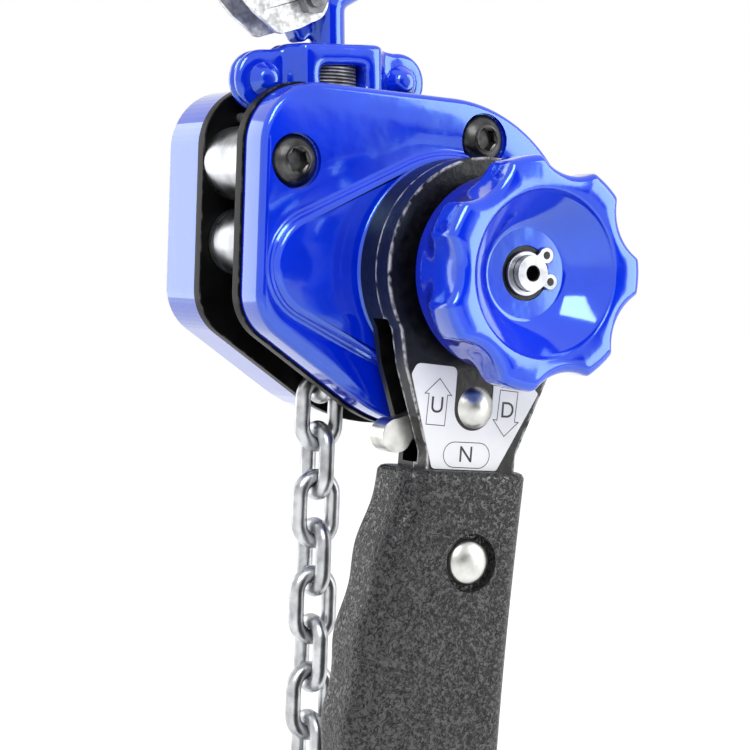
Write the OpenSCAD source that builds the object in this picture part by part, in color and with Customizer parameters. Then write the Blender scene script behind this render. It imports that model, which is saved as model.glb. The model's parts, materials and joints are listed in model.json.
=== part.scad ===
// Mini chain lever hoist: a hand lever and a handwheel drive a load sheave through
// a two-stage gear train, with a ratchet brake, two swivel hooks and a link chain.
// Origin: centre of the top hook's bowl. X right, Y back, Z up, millimetres.

/* [Chain] */
// Nominal diameter of the chain wire
chain_d = 4; // [3.5:0.1:4.4]
// Pitch of the chain, the inside length of a link
chain_pitch = 12; // [11.5:0.1:12.6]
// Inside width of a link
link_gap = 5.2; // [5:0.05:5.6]
// How much thinner the wire is drawn, so that joined links stay apart
chain_play = 0.16; // [0.1:0.01:0.3]
// Links hanging below the body on the load side
load_links = 11; // [5:1:40]
// Links hanging below the body on the free side
free_links = 5; // [2:1:40]
// Outer diameter of the stop ring at the free end
ring_d = 26; // [20:0.5:34]
// Thickness of the stop ring's wire
ring_wire = 4.5; // [3:0.1:4.6]

/* [Body] */
// Clear gap between the two side plates
plate_gap = 17.2; // [16.8:0.1:20]
// Thickness of a side plate
plate_t = 3.2; // [2.5:0.1:5]
// Radius of the large arc of the plates, round the drive shaft
arc_r = 41; // [40:0.5:46]
// How far the arc's centre lies above the drive shaft
arc_rise = 1.5; // [0:0.1:2]
// Distance from the drive shaft to the plates' straight left edge
left_edge = 51.5; // [51.4:0.1:58]
// Radius of the plates' upper left corner
top_corner_r = 15.5; // [12:0.5:17]
// Height of the upper left corner's centre above the shaft
top_corner_y = 28.1; // [26:0.1:30]
// Radius of the plates' lower left corner
low_corner_r = 13; // [11:0.5:15]
// Depth of the lower left corner's centre below the shaft
low_corner_y = 6.5; // [4:0.1:9]
// How far the covers stay inside the plates' outline
cover_step = 0.6; // [0.4:0.1:2]
// Wall thickness of the two covers
cover_wall = 2.3; // [1.8:0.1:2.8]
// Depth of the front cover up to its flat face
front_depth = 9.4; // [9:0.1:11]
// Height of the teardrop step on the front cover
step_h = 2.8; // [2:0.1:4]
// Height of the round rim on top of the teardrop step
rim_h = 1.2; // [0.6:0.1:1.6]
// Depth of the rear cover
rear_depth = 17.7; // [15:0.1:20]
// Radius of the covers' rounded edges
cover_round = 1.5; // [1:0.1:3]

/* [Stays and guides] */
// Left stay bolt, to the left of the shaft
stay_left_x = 42.3; // [40:0.1:44]
// Left stay bolt, height above the shaft
stay_left_y = 24.3; // [22:0.1:26]
// Right stay bolt, to the right of the shaft
stay_right_x = 9.9; // [8:0.1:12]
// Right stay bolt, height above the shaft
stay_right_y = 32.2; // [31.8:0.1:33]
// Bottom stay bolt, depth below the shaft
stay_low_y = 33; // [32:0.1:34]
// Thread diameter of the stay bolts
bolt_d = 5; // [4:0.5:5.5]
// Diameter of the button heads
head_d = 12.4; // [10:0.1:13]
// Height of the button heads
head_h = 3.5; // [3:0.1:3.6]
// Outer diameter of the left spacer tube
spacer_big_d = 18; // [12:0.1:18.2]
// Outer diameter of the other spacer tubes
spacer_small_d = 7.4; // [7:0.1:7.8]
// Left guide roller, to the left of the shaft
roller_left_x = 41.3; // [40:0.1:43]
// Right guide roller, to the right of the shaft
roller_right_x = 34.6; // [34:0.1:35]
// Height of both guide rollers above the shaft
roller_y = 5.2; // [3:0.1:7]
// Diameter of the left guide roller
roller_left_d = 16.6; // [12:0.1:17]
// Diameter of the right guide roller
roller_right_d = 9.6; // [9:0.1:10]
// Diameter of the rollers' pins
roller_pin_d = 5; // [4:0.1:6]

/* [Drive] */
// Diameter of the drive shaft inside the body
shaft_d = 12; // [11:0.1:12.4]
// Diameter of the drive shaft's front end
shaft_end_d = 8.2; // [7:0.1:9]
// Pockets of the load sheave
pockets = 6; // [6:1:6]
// Module of all gears
gear_m = 1.25; // [1.15:0.01:1.26]
// Teeth of the two pinions
pinion_z = 10; // [10:1:10]
// Teeth of the disc gears and of the load gear
wheel_z = 22; // [22:1:22]
// Backlash of each gear mesh, along the pitch circle
backlash = 0.3; // [0.2:0.01:0.4]
// Face width of a gear
gear_face = 4.6; // [4:0.1:4.8]
// Radial clearance of running fits
fit = 0.06; // [0.03:0.01:0.09]

/* [Brake] */
// Radius of the brake flanges and friction discs
brake_r = 16.5; // [15:0.1:17]
// Teeth of the two ratchets
ratchet_z = 12; // [12:12:12]
// Tip radius of the brake ratchet disc
ratchet_r = 20.5; // [19.5:0.1:21]
// Tooth depth of the brake ratchet disc
ratchet_depth = 3; // [2.5:0.1:3.2]
// Brake pawl stud, to the left of the shaft
pawl_stud_x = 33.5; // [33:0.1:34]
// Diameter of the brake pawl's stud
pawl_stud_d = 6; // [5:0.1:6.5]

/* [Lever] */
// Lean of the lever from straight down, to the left
lever_lean = 3; // [0:0.5:6]
// Thickness of the lever across both shells
lever_t = 12.8; // [12:0.1:14]
// Radius of the lever's ring
lever_r = 27; // [26:0.1:28]
// Thickness of the lever's front wall
front_wall = 4.3; // [3:0.1:4.6]
// Thickness of the lever's rear wall
rear_wall = 2.5; // [2:0.1:3]
// Width of the lever's side wall
side_wall = 3.5; // [2.5:0.1:4]
// Half width of the lever's shoulder
shoulder_x = 20.4; // [19:0.1:22]
// Half width of the lever's arm
arm_x = 12.4; // [11.5:0.1:13]
// Length of the lever from the shaft to the arm's end
arm_len = 150; // [130:1:170]
// Distance from the shaft to the selector's rivet
pawl_y = 32.2; // [31.8:0.1:32.6]
// Throw of the selector to each side
throw = 9; // [8:0.5:10]
// Distance from the shaft to the grip's rivet
grip_rivet_y = 68.7; // [64:0.5:80]
// Tip radius of the lever's ratchet wheel
wheel_tip_r = 13.2; // [12.8:0.1:13.3]
// Tooth depth of the lever's ratchet wheel
wheel_depth = 2.6; // [2.2:0.1:2.8]

/* [Grip] */
// Distance from the shaft to the grip's upper edge
grip_top = 47.2; // [47:0.1:50]
// Distance from the shaft to the grip's lower end
grip_end = 160; // [150:1:180]
// Half width of the grip at its upper edge
grip_x = 15.8; // [15:0.1:18]
// How much further out the finger side starts
grip_lead = 2.6; // [0:0.1:4]
// How far the finger side swells outwards
grip_swell = 10; // [3:0.1:12]
// Depth of the finger grooves
groove = 1.2; // [0.4:0.1:2]
// Thickness of the rubber in front of and behind the lever
rubber_t = 3.4; // [2.5:0.1:5]

/* [Handwheel] */
// Radius over the tips of the handwheel's lobes
wheel_r = 27; // [26:0.1:30]
// Lobes of the handwheel
lobes = 7; // [5:1:9]
// Depth of the hollows between the lobes
lobe_depth = 3.6; // [2:0.1:4]
// Radius of the handwheel's round back
wheel_back_r = 22.9; // [21:0.1:23.2]
// Depth of the handwheel
wheel_h = 20.8; // [18:0.1:24]
// Radius of the dish's rim
dish_r = 19.35; // [17:0.1:20]
// Radius of the dish's flat floor
floor_r = 10.7; // [9:0.1:12]
// Depth of the dish
dish_h = 8.6; // [6:0.1:9]
// Gap between the lever's face and the handwheel
wheel_gap = 3.8; // [2.5:0.1:6]

/* [Hooks] */
// Radius of the hook's bowl
bowl_r = 14; // [12:0.1:15]
// Thickness of the hook's bow in the plane of the hook
hook_t = 10.5; // [9:0.1:12]
// Width of the hook's bow across the plane of the hook
hook_w = 9.6; // [8:0.1:11]
// Distance from the bowl's centre to the pin
hook_drop = 54; // [52:0.1:58]
// Angle at which the bow's tip starts to run straight
tip_a = 160; // [158:1:164]
// Length of the straight tip
tip_run = 8.5; // [8:0.1:10]
// Distance from the hook's axis to the latch's pivot
latch_x = 8.3; // [7.8:0.1:9]
// Height of the latch's pivot above the yoke's rivets
latch_up = 18.9; // [18:0.1:20]
// Diameter of the hook's shank
shank_d = 8.7; // [8:0.1:9]
// Lean of the top hook against its stop
lean = 3; // [2:0.5:5]
// Distance from the pin up to the rivets
rivet_up = 11.7; // [11:0.1:13]
// Distance of each yoke rivet from the hook's axis
rivet_x = 19.1; // [18:0.1:20]
// Radius of the yoke's end lobes
lobe_r = 7.4; // [7:0.1:8]
// Thickness of one yoke half at its lobes
lobe_t = 3; // [2.6:0.1:4]
// Half width of the yoke's raised block at its face
block_x = 10.5; // [10:0.1:11]
// Distance of the block's face from the middle
block_z = 8.2; // [7.8:0.1:8.3]
// Diameter of the collar on the shank
collar_d = 14; // [13:0.1:14.4]
// Height of the collar
collar_h = 5.6; // [5:0.1:6]
// Diameter of the suspension pin
pin_d = 8; // [7:0.1:9]
// Diameter of the pin that holds the chain's last link
chain_pin_d = 4.8; // [4:0.1:4.9]
// Suspension pin, height above the shaft
pin_up = 33.5; // [33:0.1:34.5]

/* [Hidden] */
$fn = 48;

// Small gap between faces that don't touch
gap = 0.3;

// Chain: wire, half sizes of a link's centre line, and the radii of the link centres on the
// sheave, for links standing in the groove and for links lying in the pockets
wire_r = (chain_d - chain_play) / 2;
link_half = (chain_pitch + chain_d) / 2;
bend_r = (link_gap + chain_d) / 2;
link_w = bend_r + chain_d / 2;
pocket_a = 360 / pockets;
turn_a = pocket_a / 2;
stand_r = (link_half + (link_half - chain_d) * cos(turn_a)) / sin(turn_a);
line_r = stand_r * cos(turn_a) + (link_half - chain_d) * sin(turn_a);

// Layers along the shaft, measured forward from the chain's plane
plate_in = plate_gap / 2;
plate_out = plate_in + plate_t;
flat_z = plate_out + front_depth;
step_z = flat_z + step_h;
rim_z = step_z + rim_h;
lever_z = rim_z + 1.3;
cavity_z = lever_z + rear_wall;
seam_z = lever_z + lever_t * 0.53;
lever_face = lever_z + lever_t;
inner_face = lever_face - front_wall;
wheel_z0 = lever_face + wheel_gap;
wheel_face = wheel_z0 + wheel_h;
floor_z = wheel_face - dish_h;
shaft_end = floor_z + 3.1;
back_z = plate_out + rear_depth;

// Places of the pins in the body, seen from the front with the shaft at 0,0
pin_at = [-line_r, pin_up];
pin_x = hook_drop * sin(lean);
pin_z = -hook_drop * cos(lean);
shaft_x = pin_x + line_r;
shaft_z = pin_z - pin_up;
stays = [[-stay_left_x, stay_left_y], [stay_right_x, stay_right_y], [0, -stay_low_y]];
stay_ds = [spacer_big_d, spacer_small_d, spacer_small_d];
rollers = [[-roller_left_x, roller_y], [roller_right_x, roller_y]];

// Outlines of the side plates, seen from the front
plate_c = [[0, arc_rise, arc_r], [top_corner_r - left_edge, top_corner_y, top_corner_r],
           [low_corner_r - left_edge, -low_corner_y, low_corner_r]];
drop_c = [[0, 0, 28.5], [-35.3, 0, 13.3]];

// Pins that stop the yoke's swing, one under each of its lobes
stop_d = 2.4;
stop_x = rivet_x * cos(lean) + rivet_up * sin(lean);
stop_drop = rivet_up * cos(lean) - rivet_x * sin(lean) - lobe_r - stop_d / 2 - 0.1;
left_stop = pin_at + [-stop_x, stop_drop];
right_stop = pin_at + [stop_x, stop_drop];

// Covers
spot_z = flat_z - 1.2;
nut_h = 4;
boss_r = 26.8;
collar_r = 15.6;
collar_z = cavity_z - 0.2;
cover_bore = wheel_tip_r + 0.3;
tail_r = 4;

// Sheave and gears, measured from the chain's plane
journal_r = 9.5;
bush_r = 12;
sheave_r = norm([line_r - wire_r, 2 * chain_pitch - link_half]) - gap;
sheave_z = plate_in - 0.4;
groove_z = wire_r + 0.55;
groove_r = stand_r - link_w - 0.5;
pocket_r = line_r - wire_r - gap;
stripper_t = 3.8;
press_a = 25;
add = 0.9;
gear_hub_r = 8.5;
gear_z1 = plate_out + 0.6;
gear_z2 = gear_z1 + gear_face + 0.7;
gear_out = gear_z2 + gear_face;
gear_c = gear_m * (pinion_z + wheel_z) / 2;
disc_a = [20, 200];
disc_at = [for (a = disc_a) [gear_c * cos(a), gear_c * sin(a)]];
disc_pin_r = 3;

// Brake layers
hub_z = plate_out + 0.5;
pad_z = hub_z + 2;
ratchet_z0 = pad_z + 1.35;
ratchet_t = 2.9;
pad2_z = ratchet_z0 + ratchet_t + 0.05;
press_z = pad2_z + 1.3;
boss8_r = 8.5;

// Latch of a hook, in the hook's frame: its pivot, the ball that ends the hook's tip, the
// outer radius of the curved web round the pivot, and the web's end inside the tip
latch_at = [-latch_x, rivet_up + latch_up - hook_drop];
tip_ball = tip_line(tip_run, -3.3);
web_r = norm(tip_ball - latch_at) - 3.35;
lip = [for (q = [[-1.8, 0.25], [-1.8, 1.5], [1.4, 1.5], [1.4, 0.25]]) tip_line(tip_run + q[0], q[1]) - latch_at];
web_a = atan2(lip[2][1], lip[2][0]) - 0.5;

// Lever and selector
tooth_z0 = cavity_z + 0.5;
tooth_z1 = inner_face - 0.5;
hub_r = 9.8;
window_r = 6.9;
horn_r = 22.62;
horn_a = 15.4 + throw;
horn_end = 1.2;
rubber_back = rubber_t * 0.7;
tab_at = [-18.2, -7.8];
tab_at_c = [tab_at[0], tab_at[1], 2.6];
mid_z = (tooth_z0 + tooth_z1) / 2;

// Where the links of the two strands begin, below the shaft
strand_y = 3 * chain_pitch;
load_end_y = strand_y + (load_links - 1) * chain_pitch;
free_end_y = strand_y + (free_links - 1) * chain_pitch;
chain_pin_y = load_end_y + link_half - wire_r - chain_pin_d / 2 - 0.12;
bowl_y = chain_pin_y + hook_drop;
ring_y = -(free_end_y + link_half - wire_r - ring_wire / 2 - 0.12) - (ring_d - ring_wire) / 2;

// ---------- frames ----------

// Seen from the front: x right, y up, z towards the viewer, 0,0,0 on the shaft
module front() translate([shaft_x, 0, shaft_z]) rotate([90, 0, 0]) children();

// The lever's own frame: y runs up along the lever
module lever() front() rotate([0, 0, -lever_lean]) children();

// The top hook's frame: 0,0,0 in the bowl, the shank pointing down
module top() rotate([90, 0, 0]) rotate([0, 0, lean]) children();

// The bottom hook's frame: the same, turned half round
module bottom() front() translate([-line_r, -bowl_y, 0]) rotate([0, load_links % 2 == 1 ? 0 : 90, 180]) children();

// ---------- shapes that repeat ----------

function polar(r, a) = [r * cos(a), r * sin(a)];

// Point s along the inner line of a hook's tip, o inside it
function tip_line(s, o) = polar(bowl_r - o, tip_a) + polar(s, tip_a + 90);

// Outline round a list of circles [x, y, r], given counter-clockwise, grown by g
function tangents(c, g) = [for (i = [0 : len(c) - 1])
    let (a = c[i], b = c[(i + 1) % len(c)], dx = b[0] - a[0], dy = b[1] - a[1],
         n = atan2(dy, dx) - 90 + asin((a[2] - b[2]) / norm([dx, dy])))
    each [[a[0], a[1]] + polar(a[2] + g, n), [b[0], b[1]] + polar(b[2] + g, n)]];

module outline(c, g = 0, n = 96) {
    for (k = c) translate([k[0], k[1]]) circle(k[2] + g, $fn = n);
    polygon(tangents(c, g));
}

// A plate or block of that outline between two heights
module layer(c, z0, z1, g = 0, n = 96) translate([0, 0, z0]) linear_extrude(z1 - z0) outline(c, g, n);

// The same with its upper edge rounded by r
module round_layer(c, z0, z1, r, g = 0) hull() {
    layer(c, z0, z1 - r, g, 60);
    for (a = [35, 65, 90])
        layer(c, z1 - r, z1 - r + r * sin(a), g - r * (1 - cos(a)), 60);
}

module disc(r, z0, z1) translate([0, 0, z0]) cylinder(r = r, h = z1 - z0);

module tube(r, bore, z0, z1) difference() {
    disc(r, z0, z1);
    disc(bore, z0 - 1, z1 + 1);
}

// Dome head of a rivet: base radius r, height h
module dome(r, h) {
    s = (r * r + h * h) / (2 * h);
    rotate_extrude() intersection() {
        translate([0, h - s]) circle(s, $fn = 96);
        square([r, h]);
    }
}

// One chain link, long along y, flat in the xy plane
module link() {
    for (s = [0, 180]) rotate([0, 0, s]) translate([0, link_half - bend_r, 0])
        rotate_extrude(angle = 180) translate([bend_r, 0]) circle(wire_r);
    for (s = [-1, 1]) translate([s * bend_r, bend_r - link_half, 0])
        rotate([-90, 0, 0]) cylinder(r = wire_r, h = 2 * (link_half - bend_r));
}

// A link seen edge-on (flat = true) or full from the front
module turned_link(flat) rotate([0, flat ? 90 : 0, 0]) link();

// A hanging run of n links whose first centre is y0 below the shaft
module run(x, y0, n, flat_first) for (i = [0 : n - 1])
    translate([x, -y0 - i * chain_pitch, 0]) turned_link((i % 2 == 0) == flat_first);

// Tube of radius r swept along points p, with k sides
function unit(v) = v / norm(v);
function heading(p, i) = unit(p[min(i + 1, len(p) - 1)] - p[max(i - 1, 0)]);
module sweep(p, r, up = [0, 0, 1], k = 6) {
    n = len(p);
    rings = [for (i = [0 : n - 1]) let (t = heading(p, i), s = unit(cross(t, up)), u = cross(s, t))
        each [for (j = [0 : k - 1]) p[i] + r * (cos(360 * j / k) * s + sin(360 * j / k) * u)]];
    sides = [for (i = [0 : n - 2], j = [0 : k - 1]) let (a = i * k + j, b = i * k + (j + 1) % k)
        each [[a, b, b + k], [a, b + k, a + k]]];
    caps = [for (j = [1 : k - 2]) each [[0, j + 1, j], [(n - 1) * k, (n - 1) * k + j, (n - 1) * k + j + 1]]];
    polyhedron(rings, concat(sides, caps));
}

// ---------- body ----------

// Bores shared by both side plates
module plate_bores() {
    for (k = stays) translate([k[0], k[1]]) circle(bolt_d / 2 + 0.15);
    for (k = rollers) translate([k[0], k[1]]) circle(roller_pin_d / 2);
    translate(pin_at) circle(pin_d / 2);
    for (k = [left_stop, right_stop]) translate(k) circle(stop_d / 2);
    circle(bush_r);
}

module front_plate() color("royalblue") front()
    difference() {
        translate([0, 0, plate_in]) linear_extrude(plate_t) difference() {
            outline(plate_c);
            plate_bores();
            translate([-pawl_stud_x, 0]) circle(pawl_stud_d / 2);
        }
        for (k = stays) translate([k[0], k[1], plate_in - 1]) cylinder(r = 1, h = 0.5);
    }

module rear_plate() color("royalblue") front()
    translate([0, 0, -plate_out]) linear_extrude(plate_t) difference() {
        outline(plate_c);
        plate_bores();
        for (k = disc_at) translate(k) circle(disc_pin_r + fit);
    }

module stay_spacers() color("gray") front()
    for (i = [0 : 2]) translate(stays[i]) tube(stay_ds[i] / 2, bolt_d / 2 + 0.15, -plate_in, plate_in);

module stop_pins() color("silver") front()
    for (k = [left_stop, right_stop]) translate(k) {
        disc(stop_d / 2, -plate_out, plate_out);
    }

module cover_screws() color("dimgray") front()
    for (k = stays) translate([k[0], k[1], 0]) difference() {
        union() {
            disc(bolt_d / 2, -back_z - nut_h - 1.2, spot_z);
            translate([0, 0, spot_z]) dome(head_d / 2, head_h);
        }
        translate([0, 0, spot_z + head_h - 2.6]) cylinder(d = head_d * 0.52, h = 5, $fn = 6);
    }

module cover_nuts() color("silver") front()
    for (k = stays) translate([k[0], k[1], -back_z - nut_h]) difference() {
        cylinder(d = bolt_d * 1.9, h = nut_h, $fn = 6);
        disc(bolt_d / 2, -1, nut_h + 1);
    }

// Inside of the front cover
module front_hollow() {
    layer(plate_c, plate_out - 1, flat_z - cover_wall, -cover_step - cover_wall);
    layer(drop_c, plate_out, step_z - cover_wall, -cover_wall);
}

module front_cover() color("royalblue") front()
    difference() {
        union() {
            round_layer(plate_c, plate_out, flat_z, cover_round, -cover_step);
            round_layer(drop_c, flat_z - 1, step_z, 1.6);
            disc(boss_r, flat_z, rim_z - 0.8);
            disc(boss_r - 1, flat_z, rim_z);
            disc(collar_r, flat_z, collar_z);
        }
        difference() {
            front_hollow();
            for (k = stays) translate(k) disc(7.4, plate_out, flat_z);
        }
        disc(cover_bore, plate_out - 1, lever_face);
        for (k = stays) translate(k) {
            disc(bolt_d / 2 + 0.15, plate_out - 1, flat_z + 1);
            disc(head_d / 2 + 0.35, spot_z, flat_z + 1);
        }
    }

module rear_cover() color("royalblue") front() mirror([0, 0, 1])
    difference() {
        round_layer(plate_c, plate_out, back_z, cover_round, -cover_step);
        difference() {
            layer(plate_c, plate_out - 1, back_z - cover_wall, -cover_step - cover_wall);
            for (k = stays) translate(k) disc(spacer_small_d / 2 + 1.4, plate_out, back_z);
            for (k = disc_at) translate(k) disc(5.6, gear_out + 0.4, back_z);
            disc(7.4, gear_out + 0.4, back_z);
        }
        for (k = stays) translate(k) disc(bolt_d / 2 + 0.15, plate_out - 1, back_z + 1);
        for (k = disc_at) translate(k) disc(disc_pin_r + fit, plate_out - 1, back_z - 1.4);
        disc(tail_r + fit, plate_out - 1, back_z - 1.4);
    }

module sheave_bushes() color("peru") front()
    for (s = [0, 1]) mirror([0, 0, s]) tube(bush_r, journal_r + fit, plate_in, plate_out);

module guide_pins() color("silver") front()
    for (k = rollers) translate(k) disc(roller_pin_d / 2, -plate_out, plate_out);

module guide_roller(k, r) translate(k) difference() {
    union() {
        disc(r, gap - plate_in, plate_in - gap);
    }
    disc(roller_pin_d / 2 + fit, -plate_in, plate_in);
    for (s = [-1, 1]) translate([0, 0, s * (plate_in - 2.8)]) tube(r + 1, r - 0.5, -0.3, 0.3);
}

module guide_roller_left() color("silver") front() guide_roller(rollers[0], roller_left_d / 2);

module guide_roller_right() color("silver") front() guide_roller(rollers[1], roller_right_d / 2);

// Wedge between the two strands whose finger lifts the chain out of the sheave
module chain_stripper() color("silver") front()
    translate([0, 0, -stripper_t / 2]) linear_extrude(stripper_t) difference() {
        union() {
            translate([0, -stay_low_y]) circle(7);
            polygon(concat([[-6.9, -stay_low_y - 0.8], [6.9, -stay_low_y - 0.8], [6.9, -25]],
                           [for (a = [-68 : -4 : -112]) polar(groove_r + 0.6, a)], [[-6.9, -25]]));
        }
        translate([0, -stay_low_y]) circle(spacer_small_d / 2 + 0.02);
    }

// ---------- sheave, chain on it and gears ----------

// Pocket for one flat link: an oval sunk inwards from the rim
module pocket(floor) rotate([0, 90, 0]) linear_extrude(line_r + 20 - floor)
    outline([[0, bend_r - link_half, link_w], [0, link_half - bend_r, link_w]], 0.35);

module load_sheave() color("silver") front()
    difference() {
        union() {
            disc(sheave_r, -sheave_z, sheave_z);
            disc(journal_r, -plate_out - 0.2, plate_out);
            disc(gear_hub_r, -gear_z1 - gear_face, -plate_out);
        }
        tube(sheave_r + 1, groove_r, -groove_z, groove_z);
        for (i = [0 : pockets - 1]) rotate([0, 0, i * pocket_a])
            translate([pocket_r, 0, 0]) pocket(pocket_r);
        disc(shaft_d / 2 + fit, -30, 20);
    }

// Gear tooth shape: involute of angle al, and half a tooth's angle at radius r
function inv(al) = tan(al) * 180 / PI - al;
function flank(n, r) = let (rp = gear_m * n / 2, rb = rp * cos(press_a))
    90 / n - backlash / rp * 45 / PI + inv(press_a) - inv(acos(min(1, rb / r)));

// Gear with n teeth, the first centred on angle a
module gear(n, a, z0, bore = 0) {
    rp = gear_m * n / 2;
    ra = rp + add * gear_m;
    rf = rp - 1.1 * gear_m;
    rb = max(rp * cos(press_a), rf);
    rs = [for (t = [0 : 0.25 : 1]) rb + t * (ra - rb)];
    tooth = concat([polar(rf - 0.3, -flank(n, rb))], [for (r = rs) polar(r, -flank(n, r))],
                   [for (i = [4 : -1 : 0]) polar(rs[i], flank(n, rs[i]))], [polar(rf - 0.3, flank(n, rb))]);
    translate([0, 0, z0]) linear_extrude(gear_face) difference() {
        rotate(a) {
            circle(rf);
            for (i = [0 : n - 1]) rotate(i * 360 / n) polygon(tooth);
        }
        circle(bore);
    }
}

module load_gear() color("gray") front()
    gear(wheel_z, 0, -gear_z1 - gear_face, gear_hub_r);

// Disc gear and its pinion in one piece, at angle al round the shaft
module disc_gear(al, at) translate(at) {
    gear(wheel_z, al + 180 + (180 + al * pinion_z) / wheel_z, -gear_out);
    gear(pinion_z, al + 180 + (180 + al * wheel_z) / pinion_z, -gear_z1 - gear_face);
    disc(disc_pin_r, -back_z + 1.6, 0.1 - plate_in);
    disc(4.6, -gear_z2, -gear_z1);
}

module disc_gear_right() color("gray") front() disc_gear(disc_a[0], disc_at[0]);

module disc_gear_left() color("gray") front() disc_gear(disc_a[1], disc_at[1]);

module drive_shaft() color("silver") front()
    difference() {
        union() {
            disc(tail_r, -back_z + 1.6, -gear_out);
            gear(pinion_z, 0, -gear_out);
            disc(4.6, -gear_z2, -gear_z1 - gear_face);
            disc(shaft_d / 2, -gear_z1 - gear_face - 0.2, cavity_z);
            disc(shaft_end_d / 2, cavity_z, shaft_end);
        }
        disc(1.9, shaft_end - 4, shaft_end + 1);
        tube(shaft_end_d / 2 + 1, shaft_end_d / 2 - 0.4, floor_z + 0.1, floor_z + 1.1);
    }

module sheave_chain() color("silver") front() {
    for (k = [0 : pockets]) rotate([0, 0, 180 - turn_a * k])
        translate([k % 2 == 0 ? line_r : stand_r, 0, 0]) turned_link(k % 2 == 0);
    for (s = [-1, 1]) run(s * line_r, chain_pitch, 2, false);
}

module load_chain() color("silver") front() run(-line_r, strand_y, load_links, false);

module free_chain() color("silver") front() run(line_r, strand_y, free_links, false);

module chain_stop_ring() color("silver") front()
    translate([line_r, ring_y, 0]) rotate([0, 90, 0]) rotate_extrude()
        translate([(ring_d - ring_wire) / 2, 0]) circle(ring_wire / 2);

// ---------- brake ----------

module brake_hub() color("silver") front() difference() {
    union() {
        disc(brake_r, hub_z, pad_z);
        disc(boss8_r, pad_z, press_z - 0.2);
    }
    disc(shaft_d / 2, hub_z - 1, press_z);
}

module friction_discs() color("saddlebrown") front() {
    tube(brake_r, boss8_r, pad_z, pad_z + 1.3);
    tube(brake_r, boss8_r, pad2_z, press_z);
}

// Ratchet teeth: root r, depth d, n teeth with their steep side at angle a and facing it
module ratchet(n, r, d, a) rotate(a) polygon([for (i = [0 : n - 1]) let (s = 360 / n, b = i * s)
    each [polar(r, b + 0.4), polar(r + 0.4 * d, b + 0.3 * s), polar(r + d, b + 0.8 * s), polar(r + d, b + s)]]);

module ratchet_disc() color("silver") front()
    translate([0, 0, ratchet_z0]) linear_extrude(ratchet_t) difference() {
        ratchet(ratchet_z, ratchet_r - ratchet_depth, ratchet_depth, 135.5);
        circle(boss8_r + fit);
    }

module brake_pawl() color("silver") front()
    translate([0, 0, ratchet_z0 + 0.1]) linear_extrude(ratchet_t - 0.2) difference() {
        union() {
            polygon([polar(18.5, 140.4), polar(22, 140.4), [-pawl_stud_x - 2.1, 5.2],
                     [-pawl_stud_x + 4.3, -3.6], polar(21.3, 155)]);
            translate([-pawl_stud_x, 0]) circle(5.6);
        }
        translate([-pawl_stud_x, 0]) circle(pawl_stud_d / 2 + fit);
    }

module brake_pawl_stud() color("silver") front() translate([-pawl_stud_x, 0, 0]) {
    disc(pawl_stud_d / 2, plate_in, ratchet_z0 + ratchet_t);
    disc(pawl_stud_d / 2 + 1.6, ratchet_z0 + ratchet_t + 0.1, step_z - cover_wall - 0.6);
    disc(pawl_stud_d / 2, ratchet_z0 + ratchet_t, step_z - cover_wall - 0.6);
}

// Torsion spring round the z axis: coil radius r, from height z0, n curls of pitch p, leg length l
module torsion_spring(r, w, z0, n, p, a, l) {
    m = n * 8;
    coil = [for (i = [0 : m]) [r * cos(a + 45 * i), r * sin(a + 45 * i), z0 + p * i / 8]];
    e = a + 45 * m;
    first = coil[0] + l[0] * [sin(a), -cos(a), 0];
    last = coil[m] + l[1] * [-sin(e), cos(e), 0];
    sweep(concat([first], coil, [last]), w);
}

module brake_pawl_spring() color("gray") front() translate([-pawl_stud_x, 0, 0])
    torsion_spring(4, 0.35, plate_out + 0.5, 2.25, 1.2, 200, [5, 9]);

// ---------- lever ----------

module lever_outline(g = 0) {
    circle(lever_r + g, $fn = 96);
    polygon([[-24 - g, -8], [-shoulder_x - g, -23.3], [-arm_x - g, -43.3], [-arm_x - g, arm_x - arm_len],
             [arm_x + g, arm_x - arm_len], [arm_x + g, -43.3], [shoulder_x + g, -23.3], [24 + g, -8]]);
    translate([0, arm_x - arm_len]) circle(arm_x + g);
}

module lever_bores() {
    translate([0, -pawl_y]) circle(2.5);
    translate([0, -grip_rivet_y]) circle(2.5);
}

// Slot in the lever's left wall for the selector's tab
module tab_slot() translate([-40, -46, cavity_z - 0.5]) cube([32, 33, tooth_z1 - cavity_z + 0.9]);

// Block across the lever's cavity that guides the detent plunger
module plunger_block(z0, z1) translate([-5, -pawl_y - 22, z0]) cube([10, 9, z1 - z0]);

module plunger_bore(r) translate([0, -pawl_y - 20.5, mid_z]) rotate([-90, 0, 0]) cylinder(r = r, h = 10);

module lever_rear_shell() color("#141414") lever() difference() {
    union() {
        difference() {
            translate([0, 0, lever_z]) linear_extrude(seam_z - lever_z) lever_outline();
            translate([0, 0, cavity_z]) linear_extrude(lever_t) lever_outline(-side_wall);
        }
        plunger_block(cavity_z - 0.1, seam_z);
    }
    translate([0, 0, lever_z - 1]) linear_extrude(lever_t) lever_bores();
    disc(collar_r + fit, lever_z - 1, cavity_z + 1);
    tab_slot();
    plunger_bore(2 + fit);
}

module lever_front_shell() color("#141414") lever() difference() {
    union() {
        difference() {
            translate([0, 0, seam_z]) linear_extrude(lever_face - seam_z) lever_outline();
            translate([0, 0, seam_z - 1]) linear_extrude(inner_face - seam_z + 1) lever_outline(-side_wall);
        }
        plunger_block(seam_z, inner_face + 0.1);
    }
    translate([0, 0, lever_z - 1]) linear_extrude(lever_t + 2) lever_bores();
    disc(hub_r + 0.7, inner_face - 1, lever_face + 1);
    tab_slot();
    plunger_bore(2 + fit);
}

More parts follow.
